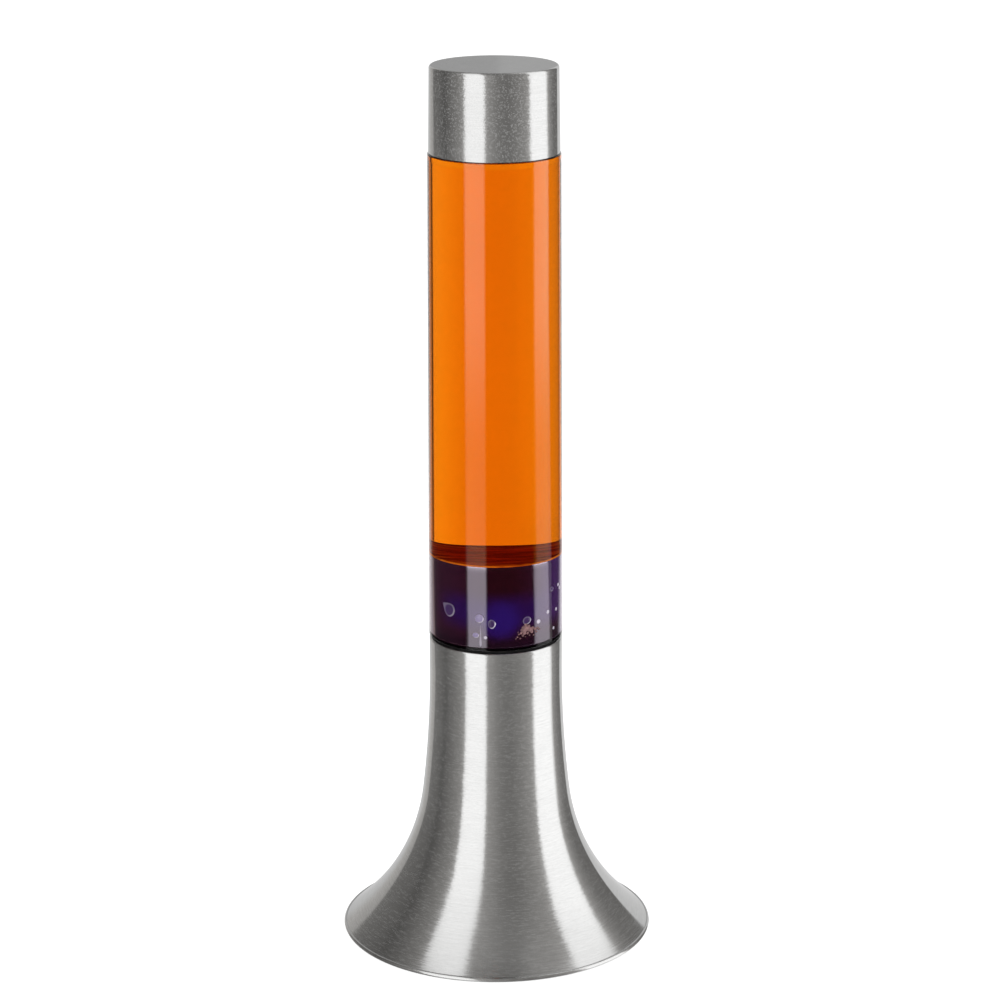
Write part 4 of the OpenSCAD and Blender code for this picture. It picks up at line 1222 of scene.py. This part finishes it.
class LAMP_OT_studio(bpy.types.Operator):
    """Set the pale floor, the white backdrop, two softboxes and the camera"""

    bl_idname = "lamp.studio"
    bl_label = "Studio"

    def execute(self, context):
        stage = context.scene.lamp_stage
        self.lay_floor(stage)
        self.light_room(context, stage)
        for edges in SOFTBOXES:
            self.hang_softbox(context, stage, edges)
        self.set_camera(context, stage)
        context.scene.view_settings.view_transform = "Standard"
        return {"FINISHED"}

    def lay_floor(self, stage):
        """The pale floor, which shows only to the camera and takes the lamp's soft shadow."""
        deselect()
        bpy.ops.mesh.primitive_plane_add(size=stage.floor_size, location=(0, 0, 0))
        floor = named(bpy.context.object, "floor")
        look = Finish("pale_floor")
        tone = look.ramp(look.noise(look.place(), 3.0), 0.3, 0.7)
        floor.data.materials.append(look.set(
            Base_Color=look.blend(tone, shade(stage.floor_tint, 0.985), stage.floor_tint),
            Roughness=0.9,
            Specular_IOR_Level=0.1,
            Emission_Color=WHITE,
            Emission_Strength=stage.floor_glow,
        ))
        floor.visible_glossy = False
        floor.visible_transmission = False

    def light_room(self, context, stage):
        """White to the camera; a lit wall behind the lamp and a dim room to all that mirrors or refracts."""
        world = bpy.data.worlds.new("studio_room")
        world.use_nodes = True
        world.cycles.sampling_method = "NONE"
        context.scene.world = world
        room = Nodes(world.node_tree)
        path = room.add("ShaderNodeLightPath").outputs
        x, y, z = room.split(room.add("ShaderNodeTexCoord").outputs["Generated"])
        bearing = room.bearing(x, y)
        share = room.plus(room.maths("DIVIDE", bearing, math.tau), 0.5)
        behind = self.table(room, share, ROOM_THROUGH_GLASS)
        leaned = self.lean(room, share, z)
        metal, sharp = (self.table(room, leaned, stops) for stops in (ROOM_IN_METAL, ROOM_IN_GLASS))
        # In glass the softboxes fade towards their lower ends
        faded = room.minus(room.ramp(z, *GLASS_FADE), 1.0)
        boxes = room.ramp(room.unsigned(bearing), math.radians(130), math.radians(115))
        sharp = room.vector("SCALE", sharp, room.plus(room.times(faded, boxes), 1.0))
        # The wall is dimmer high up in its middle, and the softboxes are dimmer high up and far down
        middle = room.ramp(room.unsigned(room.maths("ARCTAN2", x, y)), math.radians(20), math.radians(8))
        high = room.ramp(z, math.sin(math.radians(1)), math.sin(math.radians(7)))
        dip = room.minus(1.0, room.times(room.times(middle, high), WALL_DIP))
        dim = room.times(dip, room.ramp(z, *DIM_HIGH_UP))
        dim = room.times(dim, room.ramp(z, *DIM_FAR_DOWN))
        metal = room.blend(dim, BLACK, metal)
        # Straight over the lamp the dim room between the softboxes is lighter
        ahead = room.ramp(room.unsigned(room.minus(bearing, AHEAD)), *AHEAD_SPREAD)
        lifted = room.times(ahead, room.ramp(z, *OVERHEAD_LIGHT))
        # The floor throws a little light up from below
        lifted = room.plus(lifted, room.ramp(z, *FLOOR_LIGHT))
        metal = room.vector("ADD", metal, lifted)
        # The ceiling is one even tone
        ceiling = room.ramp(z, math.sin(math.radians(73)), math.sin(math.radians(80)))
        metal = room.blend(ceiling, metal, CEILING_TONE)
        even = (stage.ambient_level,) * 3
        seen = room.blend(path["Is Transmission Ray"], even, behind)
        mirrored = room.blend(path["Is Singular Ray"], metal, sharp)
        seen = room.blend(room.maths("GREATER_THAN", path["Glossy Depth"], 0.5), seen, mirrored)
        seen = room.blend(room.maths("GREATER_THAN", path["Diffuse Depth"], 0.5), seen, even)
        seen = room.blend(path["Is Camera Ray"], seen, WHITE)
        room.feed(room.tree.nodes["Background"].inputs["Color"], seen)

    def lean(self, room, share, z):
        """The share of a full turn, shifted with height where the room's edges lean."""
        shares = room.add("ShaderNodeSeparateColor", {0: self.stops(room, share, ROOM_LEAN)}).outputs
        above = room.maths("MAXIMUM", z, 0.0)
        cubed = room.times(above, room.times(above, above))
        below = room.maths("MAXIMUM", room.minus(BELOW_FROM, z), 0.0)
        far_up = room.times(room.minus(shares[0], 0.5), LEAN_FAR_UP)
        wall = room.times(shares[1], LEAN_OF_WALL)
        under = room.times(shares[2], LEAN_BELOW)
        share = room.minus(share, room.times(far_up, cubed))
        share = room.plus(share, room.times(wall, room.plus(z, -WALL_FOOT)))
        return room.minus(share, room.times(under, below))

    def table(self, room, share, stops):
        """A tone read off stops round a full turn, a little warm where the room is dim."""
        peak = max(value for bearing, value in stops)
        toned = []
        for bearing, value in stops:
            red = value / peak
            green, blue = (0.975 * red, 0.945 * red) if value < 0.5 else (red, red)
            toned.append((bearing, red, green, blue))
        return room.vector("SCALE", self.stops(room, share, toned), peak)

    def stops(self, room, share, stops):
        """A colour ramp round a full turn from stops of bearing, red, green and blue."""
        node = room.add("ShaderNodeValToRGB", {0: share})
        marks = node.color_ramp.elements
        for mark, (bearing, *tone) in zip((marks[0], marks[1]), (stops[0], stops[-1])):
            mark.position = bearing / 360 + 0.5
            mark.color = (*tone, 1.0)
        for bearing, *tone in stops[1:-1]:
            marks.new(bearing / 360 + 0.5).color = (*tone, 1.0)
        return node.outputs[0]

    def hang_softbox(self, context, stage, edges):
        """A tall softbox that fills the bearings between its edges, seen from the lamp."""
        away = stage.softbox_away
        turn, half = math.radians(sum(edges) / 2), math.radians(edges[1] - edges[0]) / 2
        light = bpy.data.lights.new("softbox", "AREA")
        light.shape = "RECTANGLE"
        light.size = 2 * away * math.tan(half)
        light.size_y = stage.softbox_tall
        light.energy = stage.softbox_level * math.pi * light.size * light.size_y
        holder = bpy.data.objects.new("softbox", light)
        holder.location = (away * math.sin(turn), -away * math.cos(turn), stage.softbox_middle)
        holder.rotation_euler = (math.pi / 2, 0, turn)
        holder.visible_glossy = False
        holder.visible_transmission = False
        context.scene.collection.objects.link(holder)

    def set_camera(self, context, stage):
        """The camera, pitched down and rolled a little."""
        lens = bpy.data.cameras.new("camera")
        lens.lens = stage.camera_lens
        lens.sensor_width = stage.camera_sensor
        camera = bpy.data.objects.new("camera", lens)
        look = Euler((math.pi / 2 - stage.camera_pitch, 0, 0)).to_matrix()
        lean = Matrix.Rotation(-stage.camera_roll, 3, "Z")
        camera.rotation_mode = "QUATERNION"
        camera.rotation_quaternion = (look @ lean).to_quaternion()
        camera.location = stage.camera_place
        context.scene.collection.objects.link(camera)
        context.scene.camera = camera


class LAMP_PT_pieces(bpy.types.Panel):
    """Lists the lamp's pieces and the studio"""

    bl_idname = "LAMP_PT_pieces"
    bl_label = "Liquid motion lamp"
    bl_space_type = "VIEW_3D"
    bl_region_type = "UI"
    bl_category = "Lamp"

    def draw(self, context):
        for step in STEPS:
            self.layout.operator(step.bl_idname, text=step.bl_label)


GROUPS = {
    "lamp_metal": LampMetalSizes,
    "lamp_glass": LampGlassSizes,
    "lamp_colours": LampColours,
    "lamp_stage": LampStage,
}
STEPS = (
    LAMP_OT_spun_base,
    LAMP_OT_drawn_cap,
    LAMP_OT_glass_tube,
    LAMP_OT_liquid,
    LAMP_OT_wax,
    LAMP_OT_wire_coil,
    LAMP_OT_rubber,
    LAMP_OT_steel_frame,
    LAMP_OT_tube_hardware,
    LAMP_OT_cord_bush,
    LAMP_OT_lamp_holder,
    LAMP_OT_bulb,
    LAMP_OT_closure,
    LAMP_OT_studio,
)


def register():
    for made in (*GROUPS.values(), *STEPS, LAMP_PT_pieces):
        bpy.utils.register_class(made)
    for name, group in GROUPS.items():
        setattr(bpy.types.Scene, name, PointerProperty(type=group))


def unregister():
    for name in GROUPS:
        delattr(bpy.types.Scene, name)
    for made in reversed((*GROUPS.values(), *STEPS, LAMP_PT_pieces)):
        bpy.utils.unregister_class(made)


def main():
    register()
    for step in STEPS:
        family, action = step.bl_idname.split(".")
        getattr(getattr(bpy.ops, family), action)()


if __name__ == "__main__":
    main()
